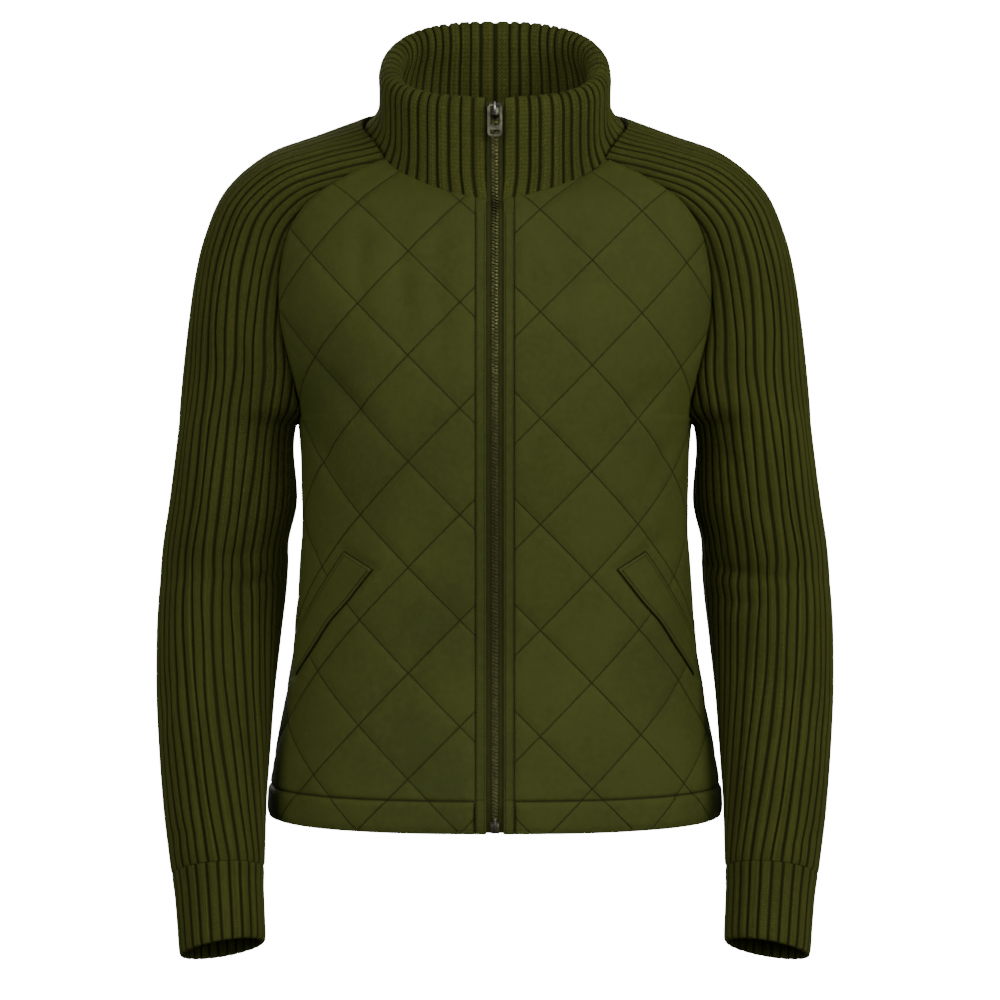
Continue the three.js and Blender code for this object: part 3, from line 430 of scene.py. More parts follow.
@functools.lru_cache(maxsize=None)
def torso_table(side):
    """x and y over heights and lengths, carried on past the side, and each height's full length."""
    turns = np.linspace(0, math.pi / 2, 241)
    power = 2 / SECTION_POWER
    heights = np.arange(TABLE_TOP, TABLE_LOW, -TABLE_STEP)
    x = body_value("half", heights)[:, None] * np.sin(turns) ** power
    y = body_value(side, heights)[:, None] * np.maximum(np.cos(turns), 0) ** power
    steps = np.hypot(np.diff(x, axis=1), np.diff(y, axis=1))
    length = np.concatenate([np.zeros((len(heights), 1)), np.cumsum(steps, axis=1)], axis=1)
    reach = np.arange(0, TABLE_LENGTH, TABLE_STEP)
    table = np.zeros((len(heights), len(reach), 2))
    full = length[:, -1]
    for k in range(len(heights)):
        folded = np.where(reach > full[k], 2 * full[k] - reach, reach)
        table[k, :, 0] = np.interp(folded, length[k], x[k])
        table[k, :, 1] = np.interp(folded, length[k], y[k]) * np.where(reach > full[k], -1, 1)
    if side == "front":
        table[..., 1] *= -1
    return table, full


def torso_full(side, z):
    """Length from the centre line to the side seam at heights z."""
    _, full = torso_table(side)
    rows = (TABLE_TOP - np.asarray(z, float)) / TABLE_STEP
    return np.interp(rows, np.arange(len(full)), full)


def torso_points(side, s, z):
    table, _ = torso_table(side)
    s, z = np.broadcast_arrays(np.asarray(s, float), np.asarray(z, float))
    row = np.clip((TABLE_TOP - z) / TABLE_STEP, 0, table.shape[0] - 1.001)
    place = np.clip(np.abs(s) / TABLE_STEP, 0, table.shape[1] - 1.001)
    i, j = row.astype(int), place.astype(int)
    u, v = (row - i)[..., None], (place - j)[..., None]
    near = table[i, j] * (1 - v) + table[i, j + 1] * v
    far = table[i + 1, j] * (1 - v) + table[i + 1, j + 1] * v
    flat = near * (1 - u) + far * u
    share = np.minimum(np.abs(s) / torso_full(side, z), 1)
    lift = HEM_SIDE_LIFT * share**3 * smoothstep(480, -HEM_BOTTOM_Z, -z)
    sign = np.where(s < 0, -1.0, 1.0)
    return np.stack([sign * flat[..., 0], flat[..., 1], z + lift], -1)


def torso_normals(side, s, z):
    step = 1.5
    across = torso_points(side, s + step, z) - torso_points(side, s - step, z)
    down = torso_points(side, s, z - step) - torso_points(side, s, z + step)
    normal = unit(np.cross(across, down))
    middle = torso_points(side, s, z) * np.array([1.0, 1.0, 0.0])
    turn = np.sign((normal * middle).sum(-1, keepdims=True))
    return normal * np.where(turn == 0, 1, turn)


@functools.lru_cache(maxsize=None)
def centre_line(side):
    """Heights and lengths down the centre line of the front or back."""
    heights = np.arange(TABLE_TOP, TABLE_LOW, -1.0)
    return heights, run_flat(heights, body_value(side, heights))


def down_at(side, z):
    """Length down the centre line to heights z."""
    heights, lengths = centre_line(side)
    return np.interp(-np.asarray(z, float), -heights, lengths)


# Seams


@functools.lru_cache(maxsize=None)
def raglan_line(side):
    """Half widths and heights down a panel's raglan seam, in the front view."""
    rows = RAGLAN_ROWS[1:]
    knots = np.arange(len(rows))
    at = np.linspace(0, len(rows) - 1, 240)
    x = smooth(knots, column(rows, RAGLAN_COLUMNS, side + "_x"), at)
    z = smooth(knots, column(rows, RAGLAN_COLUMNS, side + "_z"), at)
    return np.append(x, 163), np.append(z, UNDERARM_Z)


def raglan_x(side, z):
    x, heights = raglan_line(side)
    return np.interp(-np.asarray(z, float), -heights, x)


@functools.lru_cache(maxsize=None)
def raglan_table(side):
    """Lengths from the centre line to the raglan seam, by height from its top."""
    heights = np.arange(TABLE_TOP, UNDERARM_Z, -TABLE_STEP)
    table, full = torso_table(side)
    reach = np.arange(0, TABLE_LENGTH, TABLE_STEP)
    out = []
    for k, z in enumerate(heights):
        x = table[k, :, 0]
        last = int(full[k] / TABLE_STEP)
        out.append(np.interp(raglan_x(side, z), x[:last], reach[:last]))
    return heights, np.array(out)


def side_limit(side, z):
    """Length from the centre line to the raglan seam, or to the side seam below it."""
    heights, lengths = raglan_table(side)
    seam = np.interp(-np.asarray(z, float), -heights, lengths)
    return np.where(np.asarray(z) > UNDERARM_Z, seam, torso_full(side, z))


def outside_neck(x, y, grow):
    """More than 1 outside the neck's ellipse in plan."""
    reach = np.where(y > NECK_Y, NECK_BACK, NECK_FRONT) + grow
    return (x / (NECK_HALF + grow)) ** 2 + ((y - NECK_Y) / reach) ** 2


@functools.lru_cache(maxsize=None)
def neck_table(side):
    """Heights at which lengths from the centre line leave the neck, and the raglan seam's own."""
    heights = np.arange(TABLE_TOP, -110, -0.25)
    lengths = np.arange(0, 180, 1.0)
    points = torso_points(side, lengths[None, :], heights[:, None])
    free = outside_neck(points[..., 0], points[..., 1], 0.2) > 1
    blocked = np.where(free, -1, np.arange(len(heights))[:, None]).max(0)
    tops = heights[np.minimum(blocked + 1, len(heights) - 1)]
    seam = side_limit(side, heights)
    edge = torso_points(side, seam, heights)
    seam_free = outside_neck(edge[..., 0], edge[..., 1], 0.2) > 1
    corner = heights[np.nonzero(~seam_free)[0].max() + 1] if (~seam_free).any() else heights[0]
    corner = min(float(corner), float(raglan_line(side)[1].max()))
    return lengths, np.minimum(tops, corner), corner


def neck_height(side, s):
    lengths, tops, _ = neck_table(side)
    return np.interp(np.abs(s), lengths, tops)


# Meshes


def shade_smooth(mesh):
    mesh.polygons.foreach_set("use_smooth", np.ones(len(mesh.polygons), bool))


def build_mesh(name, points, triangles, uv):
    """A mesh from points in millimetres, coinciding points joined and collapsed faces left out."""
    rounded = np.round(points * 1000).astype(np.int64)
    _, first, index = np.unique(rounded, axis=0, return_index=True, return_inverse=True)
    index = index.reshape(-1)
    joined = index[triangles]
    whole = (
        (joined[:, 0] != joined[:, 1]) & (joined[:, 1] != joined[:, 2]) & (joined[:, 0] != joined[:, 2])
    )
    corners = triangles[whole]
    joined = joined[whole]
    mesh = bpy.data.meshes.new(name)
    mesh.vertices.add(len(first))
    mesh.vertices.foreach_set("co", (points[first] * MM).astype(np.float32).ravel())
    mesh.loops.add(joined.size)
    mesh.loops.foreach_set("vertex_index", joined.astype(np.int32).ravel())
    mesh.polygons.add(len(joined))
    mesh.polygons.foreach_set("loop_start", np.arange(0, joined.size, 3, dtype=np.int32))
    layer = mesh.uv_layers.new(name="UVMap")
    layer.data.foreach_set("uv", (uv[corners.ravel()] * MM).astype(np.float32).ravel())
    mesh.update(calc_edges=True)
    mesh.validate()
    shade_smooth(mesh)
    mesh.update()
    return mesh


def grid_triangles(rows, columns, closed_rows=False, closed_columns=False):
    i = np.arange(rows if closed_rows else rows - 1)
    j = np.arange(columns if closed_columns else columns - 1)
    a, b = np.meshgrid(i, j, indexing="ij")
    a, b = a.ravel(), b.ravel()
    c, d = (a + 1) % rows, (b + 1) % columns
    w, x, y, z = a * columns + b, a * columns + d, c * columns + d, c * columns + b
    return np.concatenate([np.stack([w, x, y], -1), np.stack([w, y, z], -1)])


def bridge(first, second, points):
    """Faces between two lines of points of different counts."""
    faces = []
    a = b = 0
    while a < len(first) - 1 or b < len(second) - 1:
        gap_a = gap_b = math.inf
        if a < len(first) - 1:
            gap_a = np.linalg.norm(points[first[a + 1]] - points[second[b]])
        if b < len(second) - 1:
            gap_b = np.linalg.norm(points[second[b + 1]] - points[first[a]])
        if gap_a < gap_b:
            faces.append((first[a], first[a + 1], second[b]))
            a += 1
        else:
            faces.append((first[a], second[b + 1], second[b]))
            b += 1
    return np.array(faces)


def outward(points, triangles):
    """Faces turned so that their closed form has a positive volume."""
    a, b, c = (points[triangles[:, k]] for k in range(3))
    return triangles if (a * np.cross(b, c)).sum() > 0 else triangles[:, ::-1]


def wall_mesh(name, outer, inner, uv, inner_uv, keep_rows, open_rows=None):
    """A closed wall between a fine outer grid and a sparser inner one; a tube below open_rows."""
    rows, columns = outer.shape[:2]
    inner_rows, inner_columns = inner.shape[:2]
    points = np.concatenate([outer.reshape(-1, 3), inner.reshape(-1, 3)])
    start = rows * columns
    outer_id = np.arange(start).reshape(rows, columns)
    inner_id = start + np.arange(inner_rows * inner_columns).reshape(inner_rows, inner_columns)
    last = rows - 1 if open_rows is None else open_rows
    inner_last = int(np.nonzero(keep_rows == last)[0][0])
    faces = [
        grid_triangles(rows, columns),
        grid_triangles(inner_rows, inner_columns)[:, ::-1] + start,
        bridge(inner_id[0], outer_id[0], points),
        bridge(inner_id[-1][::-1], outer_id[-1][::-1], points),
        bridge(inner_id[: inner_last + 1, -1], outer_id[: last + 1, -1], points),
        bridge(inner_id[: inner_last + 1, 0][::-1], outer_id[: last + 1, 0][::-1], points),
    ]
    triangles = outward(points, np.concatenate(faces))
    both = np.concatenate([uv.reshape(-1, 2), inner_uv.reshape(-1, 2)])
    return build_mesh(name, points, triangles, both)


def loop_mesh(name, grid, uv):
    """A closed form from a row of loops of points, its two ends filled."""
    rows, columns = grid.shape[:2]
    points = grid.reshape(-1, 3)
    ids = np.arange(rows * columns).reshape(rows, columns)
    faces = [grid_triangles(rows, columns, closed_rows=True)]
    for place, flip in ((0, False), (columns - 1, True)):
        ring = ids[:, place]
        ends = []
        for i in range(rows // 2 - 1):
            a, b, c, d = ring[i], ring[i + 1], ring[rows - 2 - i], ring[rows - 1 - i]
            ends += [(a, c, b), (a, d, c)] if flip else [(a, b, c), (a, c, d)]
        faces.append(np.array(ends)[:, ::-1])
    return build_mesh(name, points, outward(points, np.concatenate(faces)), uv.reshape(-1, 2))


def ring_mesh(name, grid, uv):
    """A closed form from loops of points round a tube, the last of which lies on the first."""
    rows, columns = grid.shape[:2]
    points = grid.reshape(-1, 3)
    faces = grid_triangles(rows, columns, closed_rows=True)
    return build_mesh(name, points, outward(points, faces), uv.reshape(-1, 2))


def rod_mesh(name, grid, uv):
    """A closed form from rings of points along a line, both ends filled by fans."""
    rows, columns = grid.shape[:2]
    points = grid.reshape(-1, 3)
    faces = [grid_triangles(rows, columns, closed_columns=True)]
    for start, flip in ((0, False), ((rows - 1) * columns, True)):
        fan = np.array([(start, start + k, start + k + 1) for k in range(1, columns - 1)])
        faces.append(fan if flip else fan[:, ::-1])
    return build_mesh(name, points, outward(points, np.concatenate(faces)), uv.reshape(-1, 2))


def mirror(points, key):
    """Points of the left side as they are, or turned over for the right side."""
    return points * np.array([-1.0, 1.0, 1.0]) if key == "right" else points


def link(name, mesh):
    thing = bpy.data.objects.new(name, mesh)
    bpy.context.scene.collection.objects.link(thing)
    return thing


def finish_piece(thing, material, nodes=(), body=BODY_CLOTH):
    thing.data.materials.clear()
    thing.data.materials.append(material)
    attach(thing, body)
    if nodes:
        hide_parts(*nodes)
    return thing


# Quilted panels

PANEL_STEP = 2.4
PANEL_NECK_STEP = 1.1
PANEL_REACH = 268
PUCKERS = 13
PUCKER_HEIGHT = 0.07

# Depths below the neck between which the padding ends, the hem's fold rises and its edge rounds off
PADDING_END = (563, 570)
HEM_RISE = (566.3, 570.5)
HEM_ROUND = (588.5, -HEM_BOTTOM_Z)
HEM_HEIGHT = 2.0
HEM_GROOVE = 0.9

# Depths between which the cloth lies flat under the arm, and where the arm leaves it
UNDERARM_PRESS = (248, 256)
UNDERARM_FREE = (-UNDER_SLEEVE_Z - 30, -UNDER_SLEEVE_Z + 16)


def hem_groove(z):
    """1 along the line where the turned hem is sewn, 0 away from it."""
    half = 0.9
    return np.exp(-(((z - HEM_LINE_Z) / half) ** 2))


def quilt_relief(key, side, across, z):
    """Height of the padding between crossing stitched lines."""
    start_across, start_z = QUILT_START[key]
    width, height = size_mm("quilt_width"), size_mm("quilt_height")
    a = (across - start_across) / width
    b = (down_at(side, z) - down_at(side, start_z)) / height
    spacing = width * height / math.hypot(width, height)
    first = np.abs(np.sin(math.pi * (a + b)))
    second = np.abs(np.sin(math.pi * (a - b)))
    near_first = np.arcsin(np.clip(first, 0, 1)) / math.pi * spacing
    near_second = np.arcsin(np.clip(second, 0, 1)) / math.pi * spacing
    dome = np.tanh(near_first / 4) * np.tanh(near_second / 4)
    nearest = np.minimum(near_first, near_second)
    along = np.where(near_first < near_second, a - b, a + b)
    pucker = np.sin(along * 2 * math.pi * PUCKERS) * np.exp(-(((nearest - 3.2) / 3) ** 2))
    puff = size_mm("quilt_puff") * (0.7 * dome + 0.3 * first * second)
    return puff + PUCKER_HEIGHT * pucker


def pocket_clearance(x, z):
    """0 under a pocket welt, 1 away from it."""
    rows = np.array(POCKET_ROWS, float)[::-1]
    open_x = smooth(rows[:, 1], rows[:, 0], z)
    side_x = smooth(rows[:, 3], rows[:, 2], z)
    open_corner, side_corner = rows[-1, :2], rows[-1, 2:]
    run = side_corner - open_corner
    above = ((z - open_corner[1]) * run[0] - (x - open_corner[0]) * run[1]) / math.hypot(*run)
    gap = np.maximum(np.maximum(open_x - x, x - side_x), np.maximum(above, rows[0, 1] - z))
    return smoothstep(0.5, 7, gap)


def panel_surface(key, s, z, relief=True):
    """Points and normals on a panel's outer face, at lengths from the centre line and heights."""
    side = side_of(key)
    base = torso_points(side, s, z)
    normals = torso_normals(side, s, z)
    if not relief:
        return base, normals
    low = -z
    band = smoothstep(*HEM_RISE, low)
    edge = 1 - smoothstep(*HEM_ROUND, low)
    lift = quilt_relief(key, side, s, z) * (1 - 0.55 * smoothstep(*PADDING_END, low))
    lift += HEM_HEIGHT * band * (0.35 + 0.65 * edge) - HEM_GROOVE * hem_groove(z)
    if side == "front":
        clear = pocket_clearance(np.abs(base[..., 0]), base[..., 2])
        lift = np.where(low < PADDING_END[0] - 3, lift * clear, lift)
        lift *= 0.15 + 0.85 * smoothstep(0, 6, s - STRIP_OUTER_X)
    margin = side_limit(side, z) - np.abs(s)
    seam = 0.15 + 0.85 * smoothstep(0, 7, margin)
    free = smoothstep(*UNDERARM_FREE, low)
    pressed = (1 - smoothstep(4, 60, margin)) * smoothstep(*UNDERARM_PRESS, low) * (1 - free)
    lift *= np.minimum(seam, 1 - pressed)
    lift += crease_field(s, z, PANEL_CREASES[key]) * smoothstep(0, 12, margin)
    return base + normals * lift[..., None], normals


def make_panel(key):
    """A padded front or the back: a quilted outer face over a plain inner one."""
    side = side_of(key)
    whole = side == "back"
    _, _, corner = neck_table(side)
    rows = np.concatenate([
        np.arange(corner, -88, -PANEL_NECK_STEP),
        np.arange(-89.5, UNDERARM_Z + 1.2, -PANEL_STEP),
        [UNDERARM_Z + 0.01, UNDERARM_Z - 0.01],
        np.arange(UNDERARM_Z - PANEL_STEP, -561, -PANEL_STEP),
        HEM_ROWS,
    ])
    start = 0.0 if whole else STRIP_OUTER_X - 0.5
    columns = np.arange(start, PANEL_REACH, PANEL_STEP)
    if whole:
        columns = np.concatenate([-columns[:0:-1], columns])
    tops = neck_height(side, columns)
    z = np.minimum(rows[:, None], tops[None, :])
    limit = side_limit(side, z)
    s = np.clip(columns[None, :], -limit, limit)
    outer, normals = panel_surface(key, s, z)
    base, _ = panel_surface(key, s, z, relief=False)
    keep_rows = every(len(rows), 5)
    keep = np.ix_(keep_rows, every(len(columns), 5))
    inner = (base - normals * size_mm("panel_wall"))[keep]
    start_across, start_z = QUILT_START[key]
    uv = np.stack([s - start_across, down_at(side, z) - down_at(side, start_z)], -1)
    name = "quilt_" + PANEL_NODES[key]
    mesh = wall_mesh(name, mirror(outer, key), mirror(inner, key), uv, uv[keep], keep_rows)
    thing = finish_piece(link(name, mesh), quilted_material(key), (PANEL_NODES[key],))


# Rib knit

# Points across one rib, as shares of the pitch from a groove's centre
RIB_POINTS = (0.0, 0.07, 0.14, 0.25, 0.5, 0.75, 0.86, 0.93)
GROOVE_HALF = 0.16


def rib_phases(first, last):
    """Places of the points across a run of ribs, counted in ribs."""
    return np.concatenate([np.array(RIB_POINTS) + k for k in range(first, last)])


def chance(number):
    """A fixed value from 0 to 1 for each whole number."""
    value = np.sin(np.asarray(number, float) * 12.9898) * 43758.5453
    return value - np.floor(value)


def rib_height(phase):
    """Height of the knit at a phase counted in ribs, whole numbers being groove centres."""
    groove = np.round(phase)
    half = GROOVE_HALF * (0.8 + 0.5 * chance(groove))
    depth = 0.8 + 0.25 * chance(groove + 70)
    middle = phase - np.floor(phase) - 0.5
    ridges = 1 - 0.14 * np.exp(-((middle / 0.13) ** 2)) + 0.1 * (chance(np.floor(phase) + 30) - 0.5)
    return ridges - depth * np.exp(-(((phase - groove) / half) ** 2))


def uneven(phase):
    """Shift of each rib from even spacing, in ribs."""
    return 0.07 * np.sin(phase * 1.9) + 0.04 * np.sin(phase * 4.3 + 1)


def rib_wander(phase, at):
    """Turn by which the ribs stray as they run down a sleeve."""
    return 0.012 * np.sin(at / 36 + phase * 1.3) + 0.006 * np.sin(at / 17 - phase * 2.1)


def free_rings(rows):
    """Centre, outward and forward of each closed ring in a table."""
    rings = []
    for x, y, z, width, depth, lean, tilt in rows:
        lean, tilt = math.radians(lean), math.radians(tilt)
        forward = (0, -depth * math.cos(lean), depth * math.sin(lean))
        aside = (width * math.cos(tilt), 0, -width * math.sin(tilt))
        rings.append([(x, y, z), aside, forward])
    return np.array(rings, float)


@functools.lru_cache(maxsize=None)
def sleeve_rings():
    """Centre, outward and forward of each ring, its place along the sleeve and its half angle."""
    rings = []
    for front_x, front_z, top_x, top_z, back_x, back_z, spread in RAGLAN_ROWS:
        front = np.array([front_x, float(torso_y("front", front_x, front_z)), front_z])
        back = np.array([back_x, float(torso_y("back", back_x, back_z)), back_z])
        top = np.array([top_x, 0, top_z], float)
        angle = math.radians(spread)
        away = (top - (front + back) / 2) / (1 - math.cos(angle))
        forward = (front - back) / (2 * math.sin(angle))
        rings.append([top - away, away, forward])
    rings = np.concatenate([np.array(rings), free_rings(SLEEVE_ROWS)])
    tops = rings[:, 0] + rings[:, 1]
    spreads = [row[-1] for row in RAGLAN_ROWS] + [180] * len(SLEEVE_ROWS)
    return rings, run_along(tops), np.radians(spreads)


def ring_frame(rings, places, at):
    """Centre, outward and forward between the rings of a tube."""
    return smooth(places, rings.reshape(len(rings), 9), at).reshape(np.shape(at) + (3, 3))


def ring_points(frames, turn):
    """Points at turns from each ring's outward side towards its front."""
    return frames[..., 0, :] + frames[..., 1, :] * np.cos(turn)[..., None] + (
        frames[..., 2, :] * np.sin(turn)[..., None]
    )


def sleeve_points(at, turn):
    rings, places, _ = sleeve_rings()
    return ring_points(ring_frame(rings, places, at), turn)


def sleeve_normals(at, turn):
    step, small_turn = 1.5, 0.02
    across = sleeve_points(at, turn + small_turn) - sleeve_points(at, turn - small_turn)
    along = sleeve_points(at + step, turn) - sleeve_points(at - step, turn)
    normal = unit(np.cross(across, along))
    rings, places, _ = sleeve_rings()
    away = sleeve_points(at, turn) - ring_frame(rings, places, at)[..., 0, :]
    return normal * np.sign((normal * away).sum(-1, keepdims=True))


SLEEVE_STEP = 1.0


@functools.lru_cache(maxsize=None)
def sleeve_table():
    """Turns over places along the sleeve and lengths from the shoulder line, and the seams.

    The ribs keep their pitch all the way down, so a rib near a seam starts or ends at the seam. Above the
    underarm each length stops at the raglan seams, and each rib starts outside the neck.
    """
    rings, places, spreads = sleeve_rings()
    at = np.arange(0, places[-1] + SLEEVE_STEP, SLEEVE_STEP)
    limit = np.minimum(smooth(places, spreads, at), math.pi)
    first_free = places[len(RAGLAN_ROWS)]
    limit = np.where(at >= first_free, math.pi, limit)
    turns = np.linspace(0, math.pi, 181)
    frames = ring_frame(rings, places, at)[:, None]
    pitch = size_mm("rib_pitch")
    longest = 0.0
    lengths = {}
    for sign in (1, -1):
        points = ring_points(frames, sign * turns[None, :] * np.ones((len(at), 1)))
        steps = np.linalg.norm(np.diff(points, axis=1), axis=-1)
        lengths[sign] = np.concatenate([np.zeros((len(at), 1)), np.cumsum(steps, axis=1)], axis=1)
        longest = max(longest, float(lengths[sign].max()))
    ribs = int(longest / pitch) + 1
    phases = rib_phases(-ribs, ribs + 1)
    s = (phases - 0.5 + uneven(phases)) * pitch
    turn = np.zeros((len(at), len(s)))
    ends = np.zeros((len(at), 2))
    for k in range(len(at)):
        for sign, pick in ((1, s >= 0), (-1, s < 0)):
            bent = np.interp(np.abs(s[pick]), lengths[sign][k], turns)
            turn[k, pick] = sign * np.minimum(bent, limit[k])
            ends[k, (sign + 1) // 2] = np.interp(limit[k], turns, lengths[sign][k])
    turn[:, 0] = -limit
    turn[:, -1] = limit
    near_neck = 90
    points = ring_points(ring_frame(rings, places, at[:near_neck])[:, None], turn[:near_neck])
    inside = outside_neck(points[..., 0], points[..., 1], 0.2) < 1
    last = np.where(inside, np.arange(near_neck)[:, None], -1).max(0)
    starts = at[np.minimum(last + 1, near_neck - 1)] - SLEEVE_STEP / 2
    return at, s, phases, turn, ends, np.maximum(starts, 0), first_free


def make_sleeve(key):
    """A raglan sleeve: open along its two seams above the underarm, a closed tube below it."""
    places, s, phases, turns, ends, starts, first_free = sleeve_table()
    total = places[-1]
    rows = np.concatenate([
        np.arange(0, 60, 3.0), np.arange(60, first_free - 2, 5.0), [first_free],
        np.arange(first_free + 4, total - 4, 4.2), [total - 3, total - 1.2, total],
    ])
    closed_from = int(np.nonzero(rows == first_free)[0][0])
    at = np.maximum(rows[:, None], starts[None, :])
    place = np.clip(at / SLEEVE_STEP, 0, len(places) - 1.001)
    k = place.astype(int)
    share = place - k
    columns = np.arange(len(s))[None, :]
    turn = turns[k, columns] * (1 - share) + turns[k + 1, columns] * share
    closed = at >= first_free
    turn[:, 0] = np.where(closed[:, 0], -math.pi, turn[:, 0])
    turn[:, -1] = np.where(closed[:, -1], math.pi, turn[:, -1])
    back_end = np.interp(at, places, ends[:, 0])
    front_end = np.interp(at, places, ends[:, 1])
    lengths = np.clip(s[None, :], -back_end, front_end)
    phase = np.interp(lengths, s, phases)
    margin = np.minimum(front_end - lengths, lengths + back_end)
    turn = turn + rib_wander(phase, at) * smoothstep(0, 25, margin) * smoothstep(0, 30, at)
    base = sleeve_points(at, turn)
    normals = sleeve_normals(at, turn)
    lift = rib_height(phase) * size_mm("rib_height")
    open_part = 1 - smoothstep(first_free - 12, first_free, at)
    lift *= 1 - open_part * (1 - smoothstep(-1, 5, margin)) * 0.75
    lift -= open_part * 0.9 * np.exp(-((margin / 1.6) ** 2))
    lift *= 1 - 0.6 * (1 - smoothstep(0, 6, total - at))
    lift += crease_field(lengths, base[..., 2], SLEEVE_CREASES[key]) * smoothstep(0, 12, margin + 4)
    outer = base + normals * lift[..., None]
    outer[closed_from:, -1] = outer[closed_from:, 0]
    keep_rows = np.union1d(every(len(rows), 4), [closed_from])
    keep = np.ix_(keep_rows, every(len(s), 12))
    inner = (base - normals * size_mm("knit_wall"))[keep]
    inner[keep_rows >= closed_from, -1] = inner[keep_rows >= closed_from, 0]
    uv = np.stack([phase * size_mm("rib_pitch"), at], -1)
    mesh = wall_mesh(
        "sleeve_" + key, mirror(outer, key), mirror(inner, key), uv, uv[keep], keep_rows, closed_from
    )
    thing = finish_piece(link("knit_sleeve_" + key, mesh), knit_material(), ("sleeve_" + key,))


def profile_rows(profile, count):
    """Rows of a profile carried round as a closed loop."""
    closed = np.array(profile + (profile[0],), float)
    knots = np.arange(len(closed))
    return smooth(knots, closed, np.linspace(0, len(closed) - 1, count, endpoint=False))


def make_cuff(key):
    """A double cuff, turned in at its mouth."""
    rows = profile_rows(CUFF_PROFILE, 44)
    phases = rib_phases(0, CUFF_RIBS)
    turn = phases / CUFF_RIBS * 2 * math.pi + math.pi / CUFF_RIBS
    rings = free_rings(CUFF_ROWS)
    last = len(rings) - 1
    frames = ring_frame(rings, np.arange(len(rings)), np.minimum(rows[:, 0], last))[:, None]
    base = ring_points(frames, np.broadcast_to(turn, (len(rows), len(turn))))
    away = unit(base - frames[..., 0, :])
    lift = -rows[:, 1:2] + rows[:, 2:3] * size_mm("rib_height") * rib_height(phases)[None, :]
    grid = base + away * lift[..., None]
    pitch = size_mm("rib_pitch")
    grid = np.concatenate([grid, grid[:, :1]], axis=1)
    phases = np.append(phases, CUFF_RIBS)
    ones = np.ones((len(rows), 1))
    uv = np.stack([ones * phases * pitch, rows[:, :1] * CUFF_RING_GAP * np.ones_like(phases)], -1)
    mesh = ring_mesh("cuff_" + key, mirror(grid, key), uv)
    thing = finish_piece(link("knit_cuff_" + key, mesh), knit_material(), ("cuff_" + key,))


def squared(value, power):
    """A power that keeps the sign, for ellipses with squarer corners."""
    return np.sign(value) * np.abs(value) ** power


def collar_points(turn, rows):
    """Points of the collar at turns from the centre back, for profile rows."""
    turn = np.asarray(turn, float)[None, :]
    reach, rise, inset = rows[:, 0:1], rows[:, 1:2], rows[:, 2:3]
    seam_depth = np.where(np.cos(turn) > 0, NECK_BACK, NECK_FRONT)
    across, back = squared(np.sin(turn), 2 / RIM_POWER), squared(np.cos(turn), 2 / RIM_POWER)
    x = NECK_HALF * np.sin(turn) * (1 - reach) + RIM_HALF * across * reach
    y = (NECK_Y + seam_depth * np.cos(turn)) * (1 - reach) + (RIM_Y + RIM_DEPTH * back) * reach
    degrees = np.degrees(np.abs(turn))
    seam = np.array(COLLAR_SEAM, float)
    seam_z = smooth(seam[:, 0], seam[:, 1], degrees)
    rim_z = RIM_Z + RIM_TILT * back
    slope = RIM_POWER - 1
    away = unit(np.stack([squared(across, slope) / RIM_HALF, squared(back, slope) / RIM_DEPTH], -1))
    x = x - away[..., 0] * inset
    y = y - away[..., 1] * inset
    return np.stack([x, y, seam_z + rise * (rim_z - seam_z)], -1)


def make_collar():
    """A standing collar with a rolled rim, double at its edge and open at the zip."""
    edge = math.pi - math.asin((STRIP_INNER_X / RIM_HALF) ** (RIM_POWER / 2))
    even = np.linspace(-edge, edge, 961)
    line = collar_points(even, np.array([[0.5, 0.5, 0.0, 0.0]]))[0]
    length = run_along(line)
    phases = np.append(rib_phases(0, COLLAR_RIBS), COLLAR_RIBS)
    edge_fade = smoothstep(0, 3, np.minimum(phases, COLLAR_RIBS - phases))
    placed = phases + uneven(phases) * edge_fade
    turn = np.interp(placed / COLLAR_RIBS * length[-1], length, even)
    rows = profile_rows(COLLAR_PROFILE, 64)
    base = collar_points(turn, rows)
    before, after = np.roll(base, 1, axis=0), np.roll(base, -1, axis=0)
    across = np.gradient(base, axis=1)
    normal = unit(np.cross(across, after - before))
    side, outer_row = len(phases) // 4, 12
    centre = np.array([0, RIM_Y, 0])
    if (normal[outer_row, side] * (base[outer_row, side] - centre)).sum() < 0:
        normal = -normal
    edge_fade = smoothstep(0, 1.2, np.minimum(phases, COLLAR_RIBS - phases))
    lift = rows[:, 3:4] * size_mm("rib_height") * (rib_height(phases)[None, :] * (0.4 + 0.6 * edge_fade))
    grid = base + normal * lift[..., None]
    grid[:, 0, 0] = -(STRIP_INNER_X + SEAM_GAP)
    grid[:, -1, 0] = STRIP_INNER_X + SEAM_GAP
    around = run_along(base[:, side])
    ones = np.ones((len(rows), 1))
    uv = np.stack([ones * phases * size_mm("rib_pitch"), around[:, None] * np.ones_like(phases)], -1)
    mesh = loop_mesh("knit_collar", grid, uv)
    thing = finish_piece(link("knit_collar", mesh), knit_material(), ("collar",))


# Woven strips, tapes and pocket welts

STRIP_SEWN = (STRIP_INNER_X + 1.7, STRIP_OUTER_X - 1.5)
STRIP_LIFT = 1.1
STRIP_HEM_HEIGHT = 1.5
WELT_LIFT = 2.2
WELT_SEWN = 2.6
WELT_ROWS = 61

# Section of a zip tape: across from the centre line and out of the front
TAPE_PROFILE = (
    (2.8, -1.2),
    (3.2, -1.0),
    (4.6, -0.95),
    (5.2, -1.05),
    (5.8, -0.95),
    (6.5, -1.0),
    (7.4, -1.2),
    (7.4, -2.2),
    (5.2, -2.4),
    (2.8, -2.2),
)


